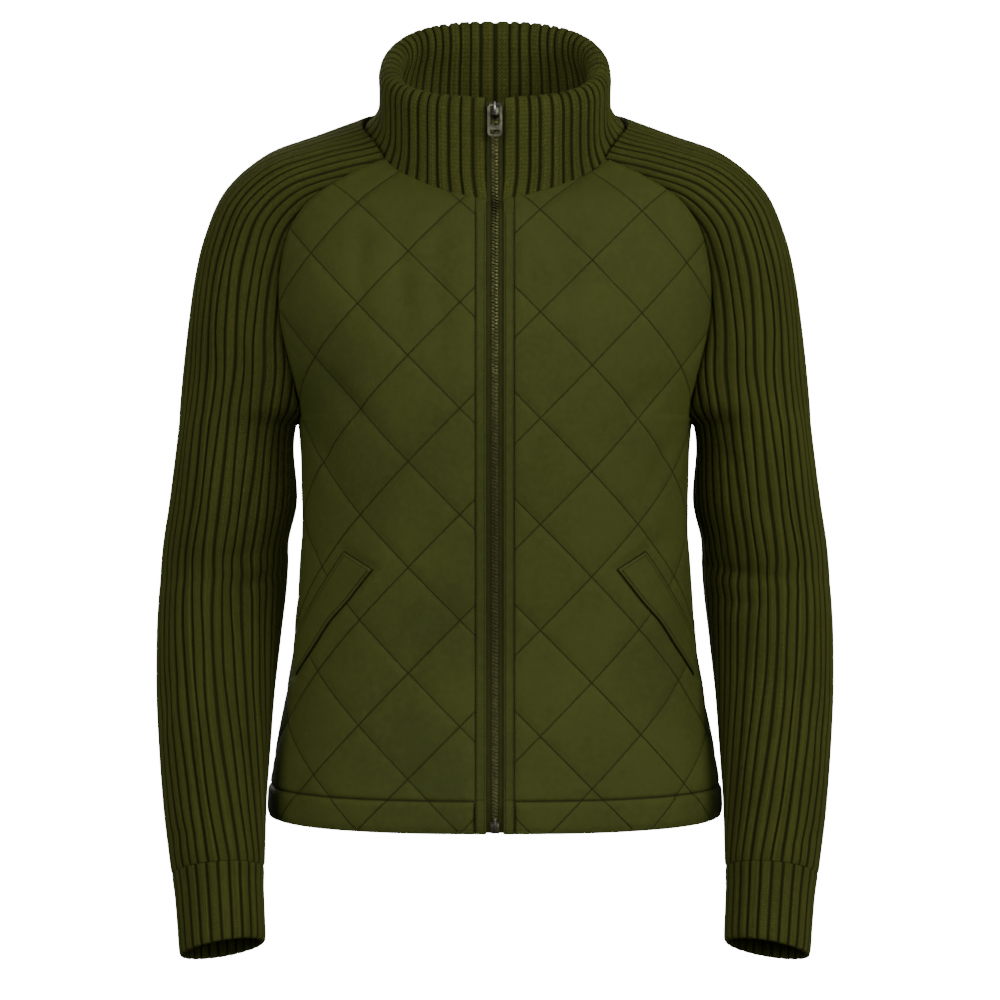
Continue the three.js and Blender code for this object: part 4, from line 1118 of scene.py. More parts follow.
def strip_lift(x, z):
    """Height of a strip's face over the panel: rounded edges, two sewn lines and the hem's fold."""
    share = (x - (STRIP_INNER_X + STRIP_OUTER_X) / 2) / ((STRIP_OUTER_X - STRIP_INNER_X) / 2)
    lift = STRIP_LIFT * (1 - share**8) - 0.1
    for line in STRIP_SEWN:
        lift = lift - 0.4 * np.exp(-(((x - line) / 0.5) ** 2))
    band = smoothstep(*HEM_RISE, -z) * (1 - 0.6 * smoothstep(*HEM_ROUND, -z))
    return lift + STRIP_HEM_HEIGHT * band - 0.6 * hem_groove(z)


def strip_points(x, z, lift):
    """Points in front of the torso by a lift."""
    return np.stack([x, torso_y("front", x, z) - lift, z], -1)


def make_strip(key):
    """A narrow plain strip beside the zip, from the collar's seam to the hem."""
    heights = np.concatenate([np.arange(-60, -561, -3.0), HEM_ROWS])
    x = np.linspace(STRIP_INNER_X, STRIP_OUTER_X, 20)
    tops = np.array([neck_height("front", value) for value in x])
    z = np.minimum(heights[:, None], tops[None, :])
    across = np.broadcast_to(x, z.shape)
    outer = strip_points(across, z, strip_lift(across, z))
    keep_rows = every(len(heights), 6)
    keep = np.ix_(keep_rows, [0, 10, len(x) - 1])
    inner = strip_points(across, z, np.full(z.shape, -size_mm("panel_wall")))[keep]
    uv = np.stack([STRIP_OUTER_X - across, -z], -1)
    name = "woven_strip_" + key
    mesh = wall_mesh(name, mirror(outer, key), mirror(inner, key), uv, uv[keep], keep_rows)
    thing = finish_piece(link(name, mesh), strip_material(), ("zip_strip_" + key,))


def pocket_edges(share):
    """Opening and side points of the welt in the front view, by shares from its top, and its length."""
    rows = np.array(POCKET_ROWS, float)
    run = run_flat(rows[:, 0], rows[:, 1])
    at = np.asarray(share, float) * run[-1]
    return smooth(run, rows, at), run[-1]


def welt_surface(down, across, lift):
    """Points lifted off the front, at shares down the welt and across it from its opening edge."""
    edges, _ = pocket_edges(down)
    x = edges[..., 0] * (1 - across) + edges[..., 2] * across
    z = edges[..., 1] * (1 - across) + edges[..., 3] * across
    point = np.stack([x, torso_y("front", x, z), z], -1)
    small = 1.0
    beside = np.stack([x - small, torso_y("front", x - small, z), z], -1) - point
    below = np.stack([x, torso_y("front", x, z - small), z - small], -1) - point
    normal = unit(np.cross(beside, below))
    normal = normal * -np.sign(normal[..., 1:2])
    return point + normal * np.asarray(lift)[..., None]


def welt_width(down):
    edges, _ = pocket_edges(down)
    return np.hypot(edges[..., 2] - edges[..., 0], edges[..., 3] - edges[..., 1])


def make_welt(key):
    """A slanting pocket welt, raised off the panel, with pressed and sewn edges."""
    down = np.linspace(0, 1, WELT_ROWS)
    across = np.concatenate([[0, 0.012, 0.03, 0.06], np.linspace(0.09, 0.92, 22), [0.96, 1]])
    d, a = np.meshgrid(down, across, indexing="ij")
    _, length = pocket_edges(0.0)
    width = welt_width(d)
    edge = np.minimum(np.minimum(a * width, (1 - a) * width + 0.4), np.minimum(d, 1 - d) * length)
    lift = WELT_LIFT - 1.3 * np.exp(-(edge + 0.12) / 0.45)
    lift -= 0.55 * np.exp(-(((edge - WELT_SEWN) / 0.55) ** 2))
    lift += 0.3 * np.sin(math.pi * a) * np.sin(math.pi * d)
    outer = welt_surface(d, a, lift)
    keep_rows = every(len(down), 6)
    keep = np.ix_(keep_rows, [0, 9, 18, len(across) - 1])
    inner = welt_surface(d, a, np.full(d.shape, 0.3))[keep]
    uv = np.stack([np.minimum(a, 1 - a) * width, d * length], -1)
    name = "pocket_" + key
    mesh = wall_mesh(name, mirror(outer, key), mirror(inner, key), uv, uv[keep], keep_rows)
    thing = finish_piece(link(name, mesh), welt_material(), ("pocket_welt_" + key,))


@functools.lru_cache(maxsize=None)
def zip_path():
    """Places y, z up the zip line, with its length, from the hem to the collar's rim."""
    heights = np.arange(HEM_BOTTOM_Z + 1, -80, 6.0)
    low = [(float(torso_y("front", 0.0, z)), z) for z in heights]
    seam_y, seam_z = NECK_Y - NECK_FRONT, COLLAR_SEAM[-1][1]
    rim_y, rise = RIM_Y - RIM_DEPTH, RIM_Z - RIM_TILT - seam_z
    high = [
        (seam_y + reach * (rim_y - seam_y), seam_z + up * rise)
        for reach, up in ((0.0, 0.0), (0.6, 0.12), (0.95, 0.3), (1.0, 0.88), (1.0, 1.02))
    ]
    line = np.array(low + high)
    return line, run_flat(line[:, 0], line[:, 1])


def zip_frame(at):
    """Points and directions out of the front, at lengths up the zip."""
    line, run = zip_path()
    at = np.asarray(at, float)
    place = smooth(run, line, at)
    step = smooth(run, line, np.minimum(at + 2, run[-1])) - smooth(run, line, np.maximum(at - 2, 0))
    along = unit(step)
    zero = np.zeros(at.shape)
    out = np.stack([zero, -along[..., 1], along[..., 0]], -1)
    out *= -np.sign(out[..., 1:2])
    return np.stack([zero, place[..., 0], place[..., 1]], -1), out


def make_tape(key):
    """The woven tape under a strip, carrying one side of the zip."""
    _, run = zip_path()
    at = np.linspace(0, run[-1], 230)
    point, out = zip_frame(at)
    profile = np.array(TAPE_PROFILE)
    x = np.broadcast_to(profile[:, 0], (len(at), len(profile)))
    grid = point[:, None] + out[:, None] * profile[:, 1][None, :, None]
    grid = grid + np.stack([x, x * 0, x * 0], -1)
    uv = np.stack([x, at[:, None] * np.ones_like(x)], -1)
    mesh = rod_mesh("tape_" + key, mirror(grid, key), uv)
    thing = finish_piece(link("tape_" + key, mesh), tape_material(), ("zip_tape_" + key,))


# Repeated parts by Geometry Nodes


def node_tree(name, **inputs):
    """A tree that takes and gives geometry, with further named inputs."""
    tree = bpy.data.node_groups.new(name, "GeometryNodeTree")
    tree.interface.new_socket("Geometry", in_out="INPUT", socket_type="NodeSocketGeometry")
    for label, kind in inputs.items():
        tree.interface.new_socket(label, in_out="INPUT", socket_type="NodeSocket" + kind)
    tree.interface.new_socket("Geometry", in_out="OUTPUT", socket_type="NodeSocketGeometry")
    return tree


def tree_node(tree, kind, settings=None, **links):
    """A node with its settings, and its named inputs set or linked."""
    node = tree.nodes.new(kind)
    for key, value in (settings or {}).items():
        setattr(node, key, value)
    for key, value in links.items():
        socket = node.inputs[int(key[1:])] if key[0] == "i" and key[1:].isdigit() else node.inputs[key]
        if isinstance(value, bpy.types.NodeSocket):
            tree.links.new(value, socket)
        else:
            socket.default_value = value
    return node


def instances_along(name, lines, part, pitch, material):
    """A plain mesh of a small part repeated along lines of points, turned to follow them."""
    points, edges = [], []
    for line in lines:
        start = len(points)
        points += [tuple(point * MM) for point in line]
        edges += [(start + k, start + k + 1) for k in range(len(line) - 1)]
    mesh = bpy.data.meshes.new(name)
    mesh.from_pydata(points, edges, [])
    thing = link(name, mesh)
    tree = node_tree(name, Part="Object", Pitch="Float", Material="Material")
    source = tree.nodes.new("NodeGroupInput")
    target = tree.nodes.new("NodeGroupOutput")
    curve = tree_node(tree, "GeometryNodeMeshToCurve", i0=source.outputs["Geometry"])
    even = tree_node(
        tree, "GeometryNodeResampleCurve", {"mode": "LENGTH"},
        i0=curve.outputs[0], Length=source.outputs["Pitch"],
    )
    tangent = tree_node(tree, "GeometryNodeInputTangent")
    turn = tree_node(
        tree, "FunctionNodeAlignRotationToVector", {"axis": "X"}, Vector=tangent.outputs[0]
    )
    info = tree_node(tree, "GeometryNodeObjectInfo", i0=source.outputs["Part"])
    copies = tree_node(
        tree, "GeometryNodeInstanceOnPoints",
        Points=even.outputs[0], Instance=info.outputs["Geometry"], Rotation=turn.outputs[0],
    )
    real = tree_node(tree, "GeometryNodeRealizeInstances", i0=copies.outputs[0])
    shaded = tree_node(
        tree, "GeometryNodeSetMaterial", i0=real.outputs[0], Material=source.outputs["Material"]
    )
    tree.links.new(shaded.outputs[0], target.inputs[0])
    modifier = thing.modifiers.new("Copies", "NODES")
    modifier.node_group = tree
    values = {"Part": part, "Pitch": pitch * MM, "Material": material}
    for item in tree.interface.items_tree:
        if item.in_out == "INPUT" and item.name in values:
            modifier[item.identifier] = values[item.name]
    return made_plain(thing)


def final_mesh(thing):
    """An object's evaluated form as a plain mesh."""
    graph = bpy.context.evaluated_depsgraph_get()
    return bpy.data.meshes.new_from_object(thing.evaluated_get(graph), depsgraph=graph)


def made_plain(thing):
    """The object with its evaluated form as its mesh, its modifier removed."""
    mesh = final_mesh(thing)
    thing.modifiers.clear()
    thing.data = mesh
    return thing


# Small solids


def capsule(name, length, radius, sides=5):
    """A short stitch lying along X: a tube tapered to both ends."""
    mesh = bpy.data.meshes.new(name)
    rings = ((-0.5, 0.25), (-0.3, 0.9), (0.3, 0.9), (0.5, 0.25))
    points = [
        (share * length * MM, width * radius * MM * math.cos(k * 2 * math.pi / sides),
         width * radius * MM * math.sin(k * 2 * math.pi / sides))
        for share, width in rings for k in range(sides)
    ]
    faces = [
        (r * sides + k, (r + 1) * sides + k, (r + 1) * sides + (k + 1) % sides, r * sides + (k + 1) % sides)
        for r in range(len(rings) - 1) for k in range(sides)
    ]
    faces += [tuple(range(sides)), tuple(range((len(rings) - 1) * sides, len(rings) * sides))[::-1]]
    mesh.from_pydata(points, [], faces)
    return link(name, joined(name, [mesh]))


def discard(thing):
    bpy.data.objects.remove(thing, do_unlink=True)


def bevelled_box(name, low, high, bevel):
    """A box between two corners, its edges rounded off."""
    build = bmesh.new()
    bmesh.ops.create_cube(build, size=1)
    low, high = Vector(low), Vector(high)
    for vertex in build.verts:
        for axis in range(3):
            middle, span = (low[axis] + high[axis]) / 2, high[axis] - low[axis]
            vertex.co[axis] = (middle + vertex.co[axis] * span) * MM
    bmesh.ops.bevel(
        build, geom=list(build.edges), offset=bevel * MM, segments=2, profile=0.5, affect="EDGES"
    )
    mesh = bpy.data.meshes.new(name)
    build.to_mesh(mesh)
    build.free()
    return mesh


def joined(name, meshes):
    """One mesh of several, its faces turned outwards and shaded smoothly."""
    build = bmesh.new()
    for mesh in meshes:
        build.from_mesh(mesh)
        bpy.data.meshes.remove(mesh)
    bmesh.ops.recalc_face_normals(build, faces=build.faces)
    mesh = bpy.data.meshes.new(name)
    build.to_mesh(mesh)
    build.free()
    shade_smooth(mesh)
    return mesh


# Sewing

STITCH_RADIUS = 0.32
STITCH_SHARE = 0.78
SEAM_MARGIN = 3.5
MOST_LINES = 16


def quilt_lines(key):
    """Sewn diagonal lines of a panel, as runs of points just on the cloth."""
    side = side_of(key)
    start_across, start_z = QUILT_START[key]
    width, height = size_mm("quilt_width"), size_mm("quilt_height")
    z = np.arange(HEM_BOTTOM_Z + 4, 10, 3.0)
    b = (down_at(side, z) - down_at(side, start_z)) / height
    lines = []
    for k in range(-MOST_LINES, MOST_LINES + 1):
        for sign in (1, -1):
            across = (k - b) * sign * width + start_across
            high = side_limit(side, z) - SEAM_MARGIN
            low = -high if side == "back" else np.full(z.shape, STRIP_OUTER_X + 1.5)
            keep = (across > low) & (across < high) & (z < neck_height(side, across) - SEAM_MARGIN)
            keep &= (z < UNDERARM_Z - 4) | (z > UNDERARM_Z + 1)
            if side == "front":
                points = torso_points(side, across, z)
                keep &= pocket_clearance(np.abs(points[:, 0]), points[:, 2]) > 0.6
            for run in np.split(np.arange(len(z)), np.nonzero(np.diff(keep.astype(int)))[0] + 1):
                if keep[run[0]] and len(run) > 3:
                    places = np.arange(len(run))
                    fine = np.arange(len(run) * 2 - 1) / 2
                    s, heights = np.interp(fine, places, across[run]), np.interp(fine, places, z[run])
                    points, normals = panel_surface(key, s, heights)
                    lines.append(mirror(points + normals * STITCH_RADIUS * 0.5, key))
    return lines


def hem_line(key):
    """The line of sewing that holds a panel's turned hem."""
    side = side_of(key)
    z = float(HEM_LINE_Z)
    limit = float(side_limit(side, z)) - 1.5
    s = np.arange(-limit if side == "back" else STRIP_OUTER_X + 1, limit, 4.0)
    points, normals = panel_surface(key, s, np.full(s.shape, z))
    return [mirror(points + normals * STITCH_RADIUS * 0.6, key)]


def strip_lines(key):
    """The two lines of sewing down a strip."""
    z = np.arange(-590, -80, 5.0)
    lines = []
    for x in STRIP_SEWN:
        place = np.full(z.shape, x)
        keep = z < neck_height("front", x) - 2
        lift = strip_lift(place, z) + STITCH_RADIUS * 0.5
        lines.append(mirror(strip_points(place, z, lift)[keep], key))
    return lines


def welt_lines(key):
    """Edge sewing round the welt's opening edge and its top."""
    _, length = pocket_edges(0.0)
    lift = WELT_LIFT - 0.3
    down = np.linspace(WELT_SEWN / length, 0.93, 40)
    side = welt_surface(down, WELT_SEWN / welt_width(down), np.full(down.shape, lift))
    share = np.linspace(0.93, WELT_SEWN / float(welt_width(0.02)), 12)
    top = welt_surface(np.full(share.shape, down[0]), share, np.full(share.shape, lift))
    return [mirror(np.concatenate([top, side[1:]]), key)]


def make_stitches(name, lines):
    """Separate stitches along lines of sewing, as one piece."""
    pitch = size_mm("stitch_pitch")
    stitch = capsule("stitch", pitch * STITCH_SHARE, STITCH_RADIUS)
    thing = instances_along(name, lines, stitch, pitch, thread_material())
    discard(stitch)
    finish_piece(thing, thread_material())


# Zip metal

CHAIN_TOP_Z = -4.8
CHAIN_LOW_Z = -579.4
CHAIN_PROUD = 0.6
TOOTH_HALF = (0.62, 1.95, 1.35)
TOOTH_X = 1.35
TOOTH_DEPTH = 1.4
CORE_HALF = 3.1
CORE_FACES = (-0.7, -1.9)


def make_teeth():
    """Two rows of teeth over a thin core that closes the gaps between them."""
    line, run = zip_path()
    low = float(np.interp(CHAIN_LOW_Z, line[:, 1], run))
    high = float(np.interp(CHAIN_TOP_Z, line[:, 1], run))
    pitch = size_mm("tooth_pitch")
    made = []
    head = [-half for half in TOOTH_HALF], TOOTH_HALF
    for side in (-1, 1):
        at = np.arange(low + (pitch / 2 if side > 0 else 0), high, 4.0)
        point, out = zip_frame(at)
        centre = point + out * (CHAIN_PROUD - TOOTH_DEPTH)
        centre[:, 0] = side * TOOTH_X
        tooth = link("tooth", joined("tooth", [bevelled_box("head", *head, 0.35)]))
        made.append(instances_along("teeth", [centre], tooth, pitch, brass_material()))
        discard(tooth)
    point, out = zip_frame(np.linspace(low - 5, high, 160))
    front, rear = CORE_FACES
    edges = []
    for x, depth in ((-CORE_HALF, front), (CORE_HALF, front), (CORE_HALF, rear), (-CORE_HALF, rear)):
        edge = point + out * depth
        edge[:, 0] = x
        edges.append(edge)
    core = np.stack(edges, 1)
    meshes = [part.data for part in made] + [rod_mesh("core", core, core[..., :2])]
    for part in made:
        discard(part)
    thing = link("zip_teeth", joined("zip_teeth", meshes))
    finish_piece(thing, brass_material(), ("zip_chain",))


SLIDER_Y = -95
SLIDER_Z = 1.6
SLIDER_HALF_X = 4.7
SLIDER_HALF_Z = 5.5
PLATE_FRONT_Y = SLIDER_Y - 2.8
PLATE_THICKNESS = 1.6
BAIL_Z = 2.1
BAIL_REACH = 3.9
BAIL_RISE = 4.7
BAIL_RADIUS = 0.9
PULL_PIVOT_Y = PLATE_FRONT_Y - 2.4
PULL_PIVOT_Z = 4.4
PULL_LENGTH = 27
PULL_WIDTH = 12.4
PULL_THICKNESS = 1.8
PULL_BEVEL = 0.3

# Bars of the tab: along its sides, above the upper window, between the windows and below the lower one
PULL_SIDE_BAR = 2.4
PULL_TOP_BAR = 1.8
PULL_MIDDLE_BAR = 4.2
PULL_LOW_BAR = 2.6
UPPER_WINDOW = 17


def tube_mesh(name, path, radius, sides):
    """A round wire along a path of points, closed at both ends."""
    path = np.array(path, float)
    direction = unit(np.gradient(path, axis=0))
    side = np.array([1.0, 0.0, 0.0])
    rows = []
    for point, along in zip(path, direction):
        up = np.cross(along, side)
        angles = np.arange(sides) / sides * 2 * math.pi
        rows.append([point + radius * (math.cos(a) * side + math.sin(a) * up) for a in angles])
    grid = np.array(rows)
    return rod_mesh(name, grid, grid[..., [0, 2]])


def make_bail():
    """The slider's bright loop: a half ring of wire with both feet in the front plate."""
    foot_y = PLATE_FRONT_Y + PLATE_THICKNESS / 2
    path = [(0, foot_y, BAIL_Z + BAIL_RISE)]
    for k in range(13):
        angle = math.pi / 2 + k / 12 * math.pi
        y = PLATE_FRONT_Y - 1.0 + BAIL_REACH * math.cos(angle)
        path.append((0, y, BAIL_Z + BAIL_RISE * math.sin(angle)))
    path.append((0, foot_y, BAIL_Z - BAIL_RISE))
    finish_piece(link("bail", tube_mesh("bail", path, BAIL_RADIUS, 14)), bail_material())


def make_slider():
    """Two plates joined by a narrower block between them."""
    low, high = SLIDER_Z - SLIDER_HALF_Z, SLIDER_Z + SLIDER_HALF_Z
    rear_y = SLIDER_Y + 3.1
    plates = [
        bevelled_box(
            place, (-SLIDER_HALF_X, y, low), (SLIDER_HALF_X, y + PLATE_THICKNESS, high), 0.6
        )
        for place, y in (("front", PLATE_FRONT_Y), ("rear", rear_y))
    ]
    block = bevelled_box(
        "block", (-3.2, PLATE_FRONT_Y + 1, low + 0.6), (3.2, rear_y + 0.7, high - 0.6), 0.3
    )
    thing = link("slider", joined("zip_slider", plates + [block]))
    finish_piece(thing, gunmetal_material(), ("zip_slider",))


def rounded_loop(half_x, low, high, corner, steps=6):
    """Points round a rectangle with round corners."""
    loop = []
    corners = ((half_x, high, 0), (-half_x, high, 90), (-half_x, low, 180), (half_x, low, 270))
    for x, z, start in corners:
        centre_x = x - math.copysign(corner, x)
        centre_z = z - corner if z == high else z + corner
        for k in range(steps + 1):
            angle = math.radians(start + 90 * k / steps)
            loop.append((centre_x + corner * math.cos(angle), centre_z + corner * math.sin(angle)))
    return loop


def make_pull():
    """A flat ladder tab with two windows, from one filled outline."""
    top = PULL_PIVOT_Z + 0.9
    low = top - PULL_LENGTH
    middle = top - UPPER_WINDOW
    bevel = PULL_BEVEL
    window = PULL_WIDTH / 2 - PULL_SIDE_BAR + bevel
    loops = [
        rounded_loop(PULL_WIDTH / 2 - bevel, low + bevel, top - bevel, 3.2),
        rounded_loop(window, middle - bevel, top - PULL_TOP_BAR + bevel, 1.2),
        rounded_loop(window, low + PULL_LOW_BAR - bevel, middle - PULL_MIDDLE_BAR + bevel, 1.0),
    ]
    curve = bpy.data.curves.new("pull", "CURVE")
    curve.dimensions = "2D"
    curve.fill_mode = "BOTH"
    curve.extrude = (PULL_THICKNESS / 2 - bevel) * MM
    curve.bevel_depth = bevel * MM
    curve.bevel_resolution = 2
    for loop in loops:
        spline = curve.splines.new("POLY")
        spline.points.add(len(loop) - 1)
        for point, (x, z) in zip(spline.points, loop):
            point.co = (x * MM, z * MM, 0, 1)
        spline.use_cyclic_u = True
    source = link("pull_outline", curve)
    mesh = final_mesh(source)
    discard(source)
    build = bmesh.new()
    build.from_mesh(mesh)
    bmesh.ops.remove_doubles(build, verts=build.verts, dist=1e-6)
    for vertex in build.verts:
        x, z, thick = vertex.co
        vertex.co = (x, PULL_PIVOT_Y * MM - thick, z)
    bmesh.ops.recalc_face_normals(build, faces=build.faces)
    build.to_mesh(mesh)
    build.free()
    finish_piece(link("pull", mesh), gunmetal_material(), ("zip_pull",), BODY_PULL)


def make_retainer():
    """The box at the zip's lower end, with its pin and upper lip."""
    y = float(torso_y("front", 0.0, CHAIN_LOW_Z)) + 0.8
    top = CHAIN_LOW_Z - SEAM_GAP
    mesh = joined("retainer", [
        bevelled_box("box", (-3.7, y - 1.9, top - 12.6), (3.7, y + 1.9, top - 3), 0.6),
        bevelled_box("pin", (-1.1, y - 2.3, top - 12), (1.3, y + 1.5, top), 0.4),
        bevelled_box("lip", (-3.9, y - 2.1, top - 4.6), (3.9, y + 1.5, top - 3.6), 0.3),
    ])
    finish_piece(link("retainer", mesh), gunmetal_material(), ("zip_retainer",))


# Materials


class Field:
    """A shader value; sums and products of fields add the Math nodes they need."""

    def __init__(self, tree, socket):
        self.tree = tree
        self.socket = socket

    def node(self, kind, settings=None, **inputs):
        """A node with its settings, and its inputs, by number or name, set or linked."""
        made = self.tree.nodes.new(kind)
        for key, value in (settings or {}).items():
            setattr(made, key, value)
        for key, value in inputs.items():
            target = made.inputs[int(key[1:])] if key[1:].isdigit() else made.inputs[key.replace("_", " ")]
            if isinstance(value, Field):
                self.tree.links.new(value.socket, target)
            else:
                target.default_value = value
        return made

    def math(self, operation, *others):
        inputs = {"i%d" % k: value for k, value in enumerate((self,) + others)}
        return Field(self.tree, self.node("ShaderNodeMath", {"operation": operation}, **inputs).outputs[0])

    def __add__(self, other):
        return self.math("ADD", other)

    __radd__ = __add__

    def __mul__(self, other):
        return self.math("MULTIPLY", other)

    __rmul__ = __mul__

    def __sub__(self, other):
        return self.math("SUBTRACT", other)

    def __rsub__(self, other):
        return (self * -1) + other

    def __truediv__(self, other):
        return self.math("DIVIDE", other)

    def __abs__(self):
        return self.math("ABSOLUTE")

    def between(self, low, high):
        """0 below low, 1 above high, soft between."""
        made = self.node("ShaderNodeMapRange", {"interpolation_type": "SMOOTHSTEP"}, i0=self, i1=low, i2=high)
        return Field(self.tree, made.outputs[0])

    def wave(self, turns):
        return (self * (turns * 2 * math.pi)).math("SINE")


def new_material(name):
    """A material, its surface and a field from which other nodes start."""
    material = bpy.data.materials.new(name)
    material.use_nodes = True
    tree = material.node_tree
    surface = tree.nodes["Principled BSDF"]
    place = tree.nodes.new("ShaderNodeTexCoord")
    return material, surface, Field(tree, place.outputs["Object"]), Field(tree, place.outputs["UV"])


def part_of(field, axis):
    made = field.node("ShaderNodeSeparateXYZ", i0=field)
    return Field(field.tree, made.outputs[axis])


def noise(place, scale, detail=3.0, roughness=0.5):
    made = place.node("ShaderNodeTexNoise", Vector=place, Scale=scale, Detail=detail, Roughness=roughness)
    return Field(place.tree, made.outputs[0])


def mix_colour(field, first, second, share):
    made = field.node("ShaderNodeMix", {"data_type": "RGBA"}, i0=share, i6=first, i7=second)
    return Field(field.tree, made.outputs[2])


def bump(surface, height, distance, strength=1.0):
    made = height.node("ShaderNodeBump", Height=height, Distance=distance, Strength=strength)
    height.tree.links.new(made.outputs[0], surface.inputs["Normal"])


def feed(surface, name, field):
    field.tree.links.new(field.socket, surface.inputs[name])


def scaled(values, share):
    return tuple(value * share for value in values[:3]) + (1.0,)


def set_evenly(surface, **values):
    """Surface values that are the same all over."""
    for name, value in values.items():
        surface.inputs[name.replace("_", " ")].default_value = value


def set_sheen(surface, weight, tint):
    set_evenly(surface, Sheen_Weight=weight, Sheen_Roughness=0.45, Sheen_Tint=tint)


def sewn_distance(u, v):
    """Metres from the nearest quilting line, from places on the flat cloth."""
    sizes = bpy.context.scene.jacket_sizes
    width, height = sizes.quilt_width, sizes.quilt_height
    spacing = width * height / math.hypot(width, height)
    a, b = u / width, v / height
    first = abs((a + b + 0.5).math("FRACT") - 0.5)
    second = abs((a - b + 0.5).math("FRACT") - 0.5)
    return first.math("MINIMUM", second) * spacing


TWILL_PITCH = 0.0012
THREAD_PITCH = 0.0007


@functools.lru_cache(maxsize=None)
def woven_material(name, tone, roughness, sheen, hem=None, edged=0.0):
    """Fine twill: diagonal ridges of 1.2 mm, soft cloudy wear and a matt face.

    A quilted cloth has its sewn lines, and the hem's line at the given metres down it, drawn dark: partly a
    dark sewn line, partly painted shade in their grooves.
    An edged cloth has painted shade along its folded edge, where it meets the cloth beneath, and a dark sewn
    line, partly painted shade in its groove, at the given metres in from it.
    """
    material, surface, place, flat = new_material(name)
    base = colour(tone)
    u, v = part_of(flat, 0), part_of(flat, 1)
    ridge = (u * 0.8 + v).wave(1 / TWILL_PITCH)
    thread = (u - v * 0.3).wave(1 / THREAD_PITCH)
    cloud = noise(place, 9, 4, 0.6)
    fine = noise(place, 190, 3, 0.6)
    tone_share = (cloud * 0.7 + fine * 0.3).between(0.3, 0.7)
    cloth = mix_colour(place, scaled(base, 0.84), scaled(base, 1.16), tone_share)
    relief = ridge * 0.5 + thread * 0.3 + fine * 0.7
    if hem is not None:
        # Quilting lines drawn dark in the colour: partly the sewn line, partly painted shade in the lines'
        # grooves.
        seam = 1 - sewn_distance(u, v).between(0.0003, 0.0009)
        cloth = mix_colour(place, cloth, scaled(base, 0.4), seam * 0.75)
        # The hem's sewn line drawn dark in the colour: partly the sewn line, partly painted shade in the
        # hem's groove.
        turned = 1 - abs(v - hem).between(0.0004, 0.0014)
        cloth = mix_colour(place, cloth, scaled(base, 0.35), turned * 0.85)
        relief = relief - seam * 2.2
    if edged:
        # Painted shade along the folded edge, and a sewn line drawn dark, partly painted shade in its groove.
        inset = u.math("MINIMUM", v)
        fold = 1 - inset.between(0.0004, 0.0014)
        sewn = 1 - abs(inset - edged).between(0.0002, 0.0008)
        cloth = mix_colour(place, cloth, scaled(base, 0.25), (fold + sewn * 0.55) * 0.9)
    feed(surface, "Base Color", cloth)
    feed(surface, "Roughness", cloud * 0.16 + (roughness - 0.08))
    set_sheen(surface, sheen, scaled(base, 7))
    set_evenly(surface, Specular_IOR_Level=0.1)
    bump(surface, relief, 0.00022, 0.7)
    return material


def quilted_material(key):
    side = side_of(key)
    hem = float(down_at(side, HEM_SEAM_Z) - down_at(side, QUILT_START[key][1])) * MM
    return woven_material("quilted_" + key, "panel", 0.62, 0.03, hem=hem)


def welt_material():
    return woven_material("welt_cloth", "panel", 0.62, 0.03, edged=0.0027)


def strip_material():
    return woven_material("strip_cloth", "strip", 0.62, 0.03, edged=0.0003)


def tape_material():
    return woven_material("tape_cloth", "tape", 0.75, 0.02)


WALES = 5
STITCH_HEIGHT = 0.0021


@functools.lru_cache(maxsize=None)
def knit_material():
    """Rib knit: columns of small V stitches, lightly streaked, with painted shade in the grooves between the
    ribs.
    """
    material, surface, place, flat = new_material("rib_knit")
    base = colour("knit")
    pitch = bpy.context.scene.jacket_sizes.rib_pitch
    u, v = part_of(flat, 0), part_of(flat, 1)
    phase = (u / pitch).math("FRACT")
    away = abs(phase - 0.5)
    # Mask of the grooves between the ribs, where painted shade darkens the colour.
    groove = away.between(0.27, 0.46)
    wale = ((u / pitch) * WALES).math("FRACT")
    slope = abs(wale - 0.5)
    cloud = noise(place, 12, 4, 0.6)
    fuzz = noise(place, 420, 3, 0.7)
    loop = (v / STITCH_HEIGHT + slope * 1.2 + fuzz * 1.1).math("FRACT")
    stitch = abs(loop - 0.5).between(0.1, 0.45)
    leg = ((u / pitch) * (2 * WALES)).math("FLOOR")
    streak = ((leg * 12.9898).math("SINE") * 437.58).math("FRACT")
    tone_share = (cloud * 0.4 + fuzz * 0.4 + streak * 0.2).between(0.3, 0.68)
    rib = mix_colour(place, scaled(base, 0.74), scaled(base, 1.26), tone_share)
    stitched = mix_colour(place, rib, scaled(base, 0.42), stitch * (fuzz * 0.7 + 0.2))
    # Painted shade: the grooves between the ribs are darkened to a fifth of the knit's colour.
    feed(surface, "Base Color", mix_colour(place, stitched, scaled(base, 0.2), groove))
    set_evenly(surface, Roughness=0.9, Specular_IOR_Level=0.08)
    set_sheen(surface, 0.05, scaled(base, 8))
    height = (1 - stitch) * (1 - groove) + slope * 0.7 + fuzz * 0.6
    bump(surface, height, 0.0005, 0.9)
    return material


@functools.lru_cache(maxsize=None)
def thread_material():
    """Dull sewing thread, finely mottled."""
    material, surface, place, _ = new_material("thread")
    base = colour("thread")
    share = noise(place, 900, 2).between(0.35, 0.65)
    feed(surface, "Base Color", mix_colour(place, scaled(base, 0.8), scaled(base, 1.15), share))
    set_evenly(surface, Roughness=0.7, Specular_IOR_Level=0.1)
    return material


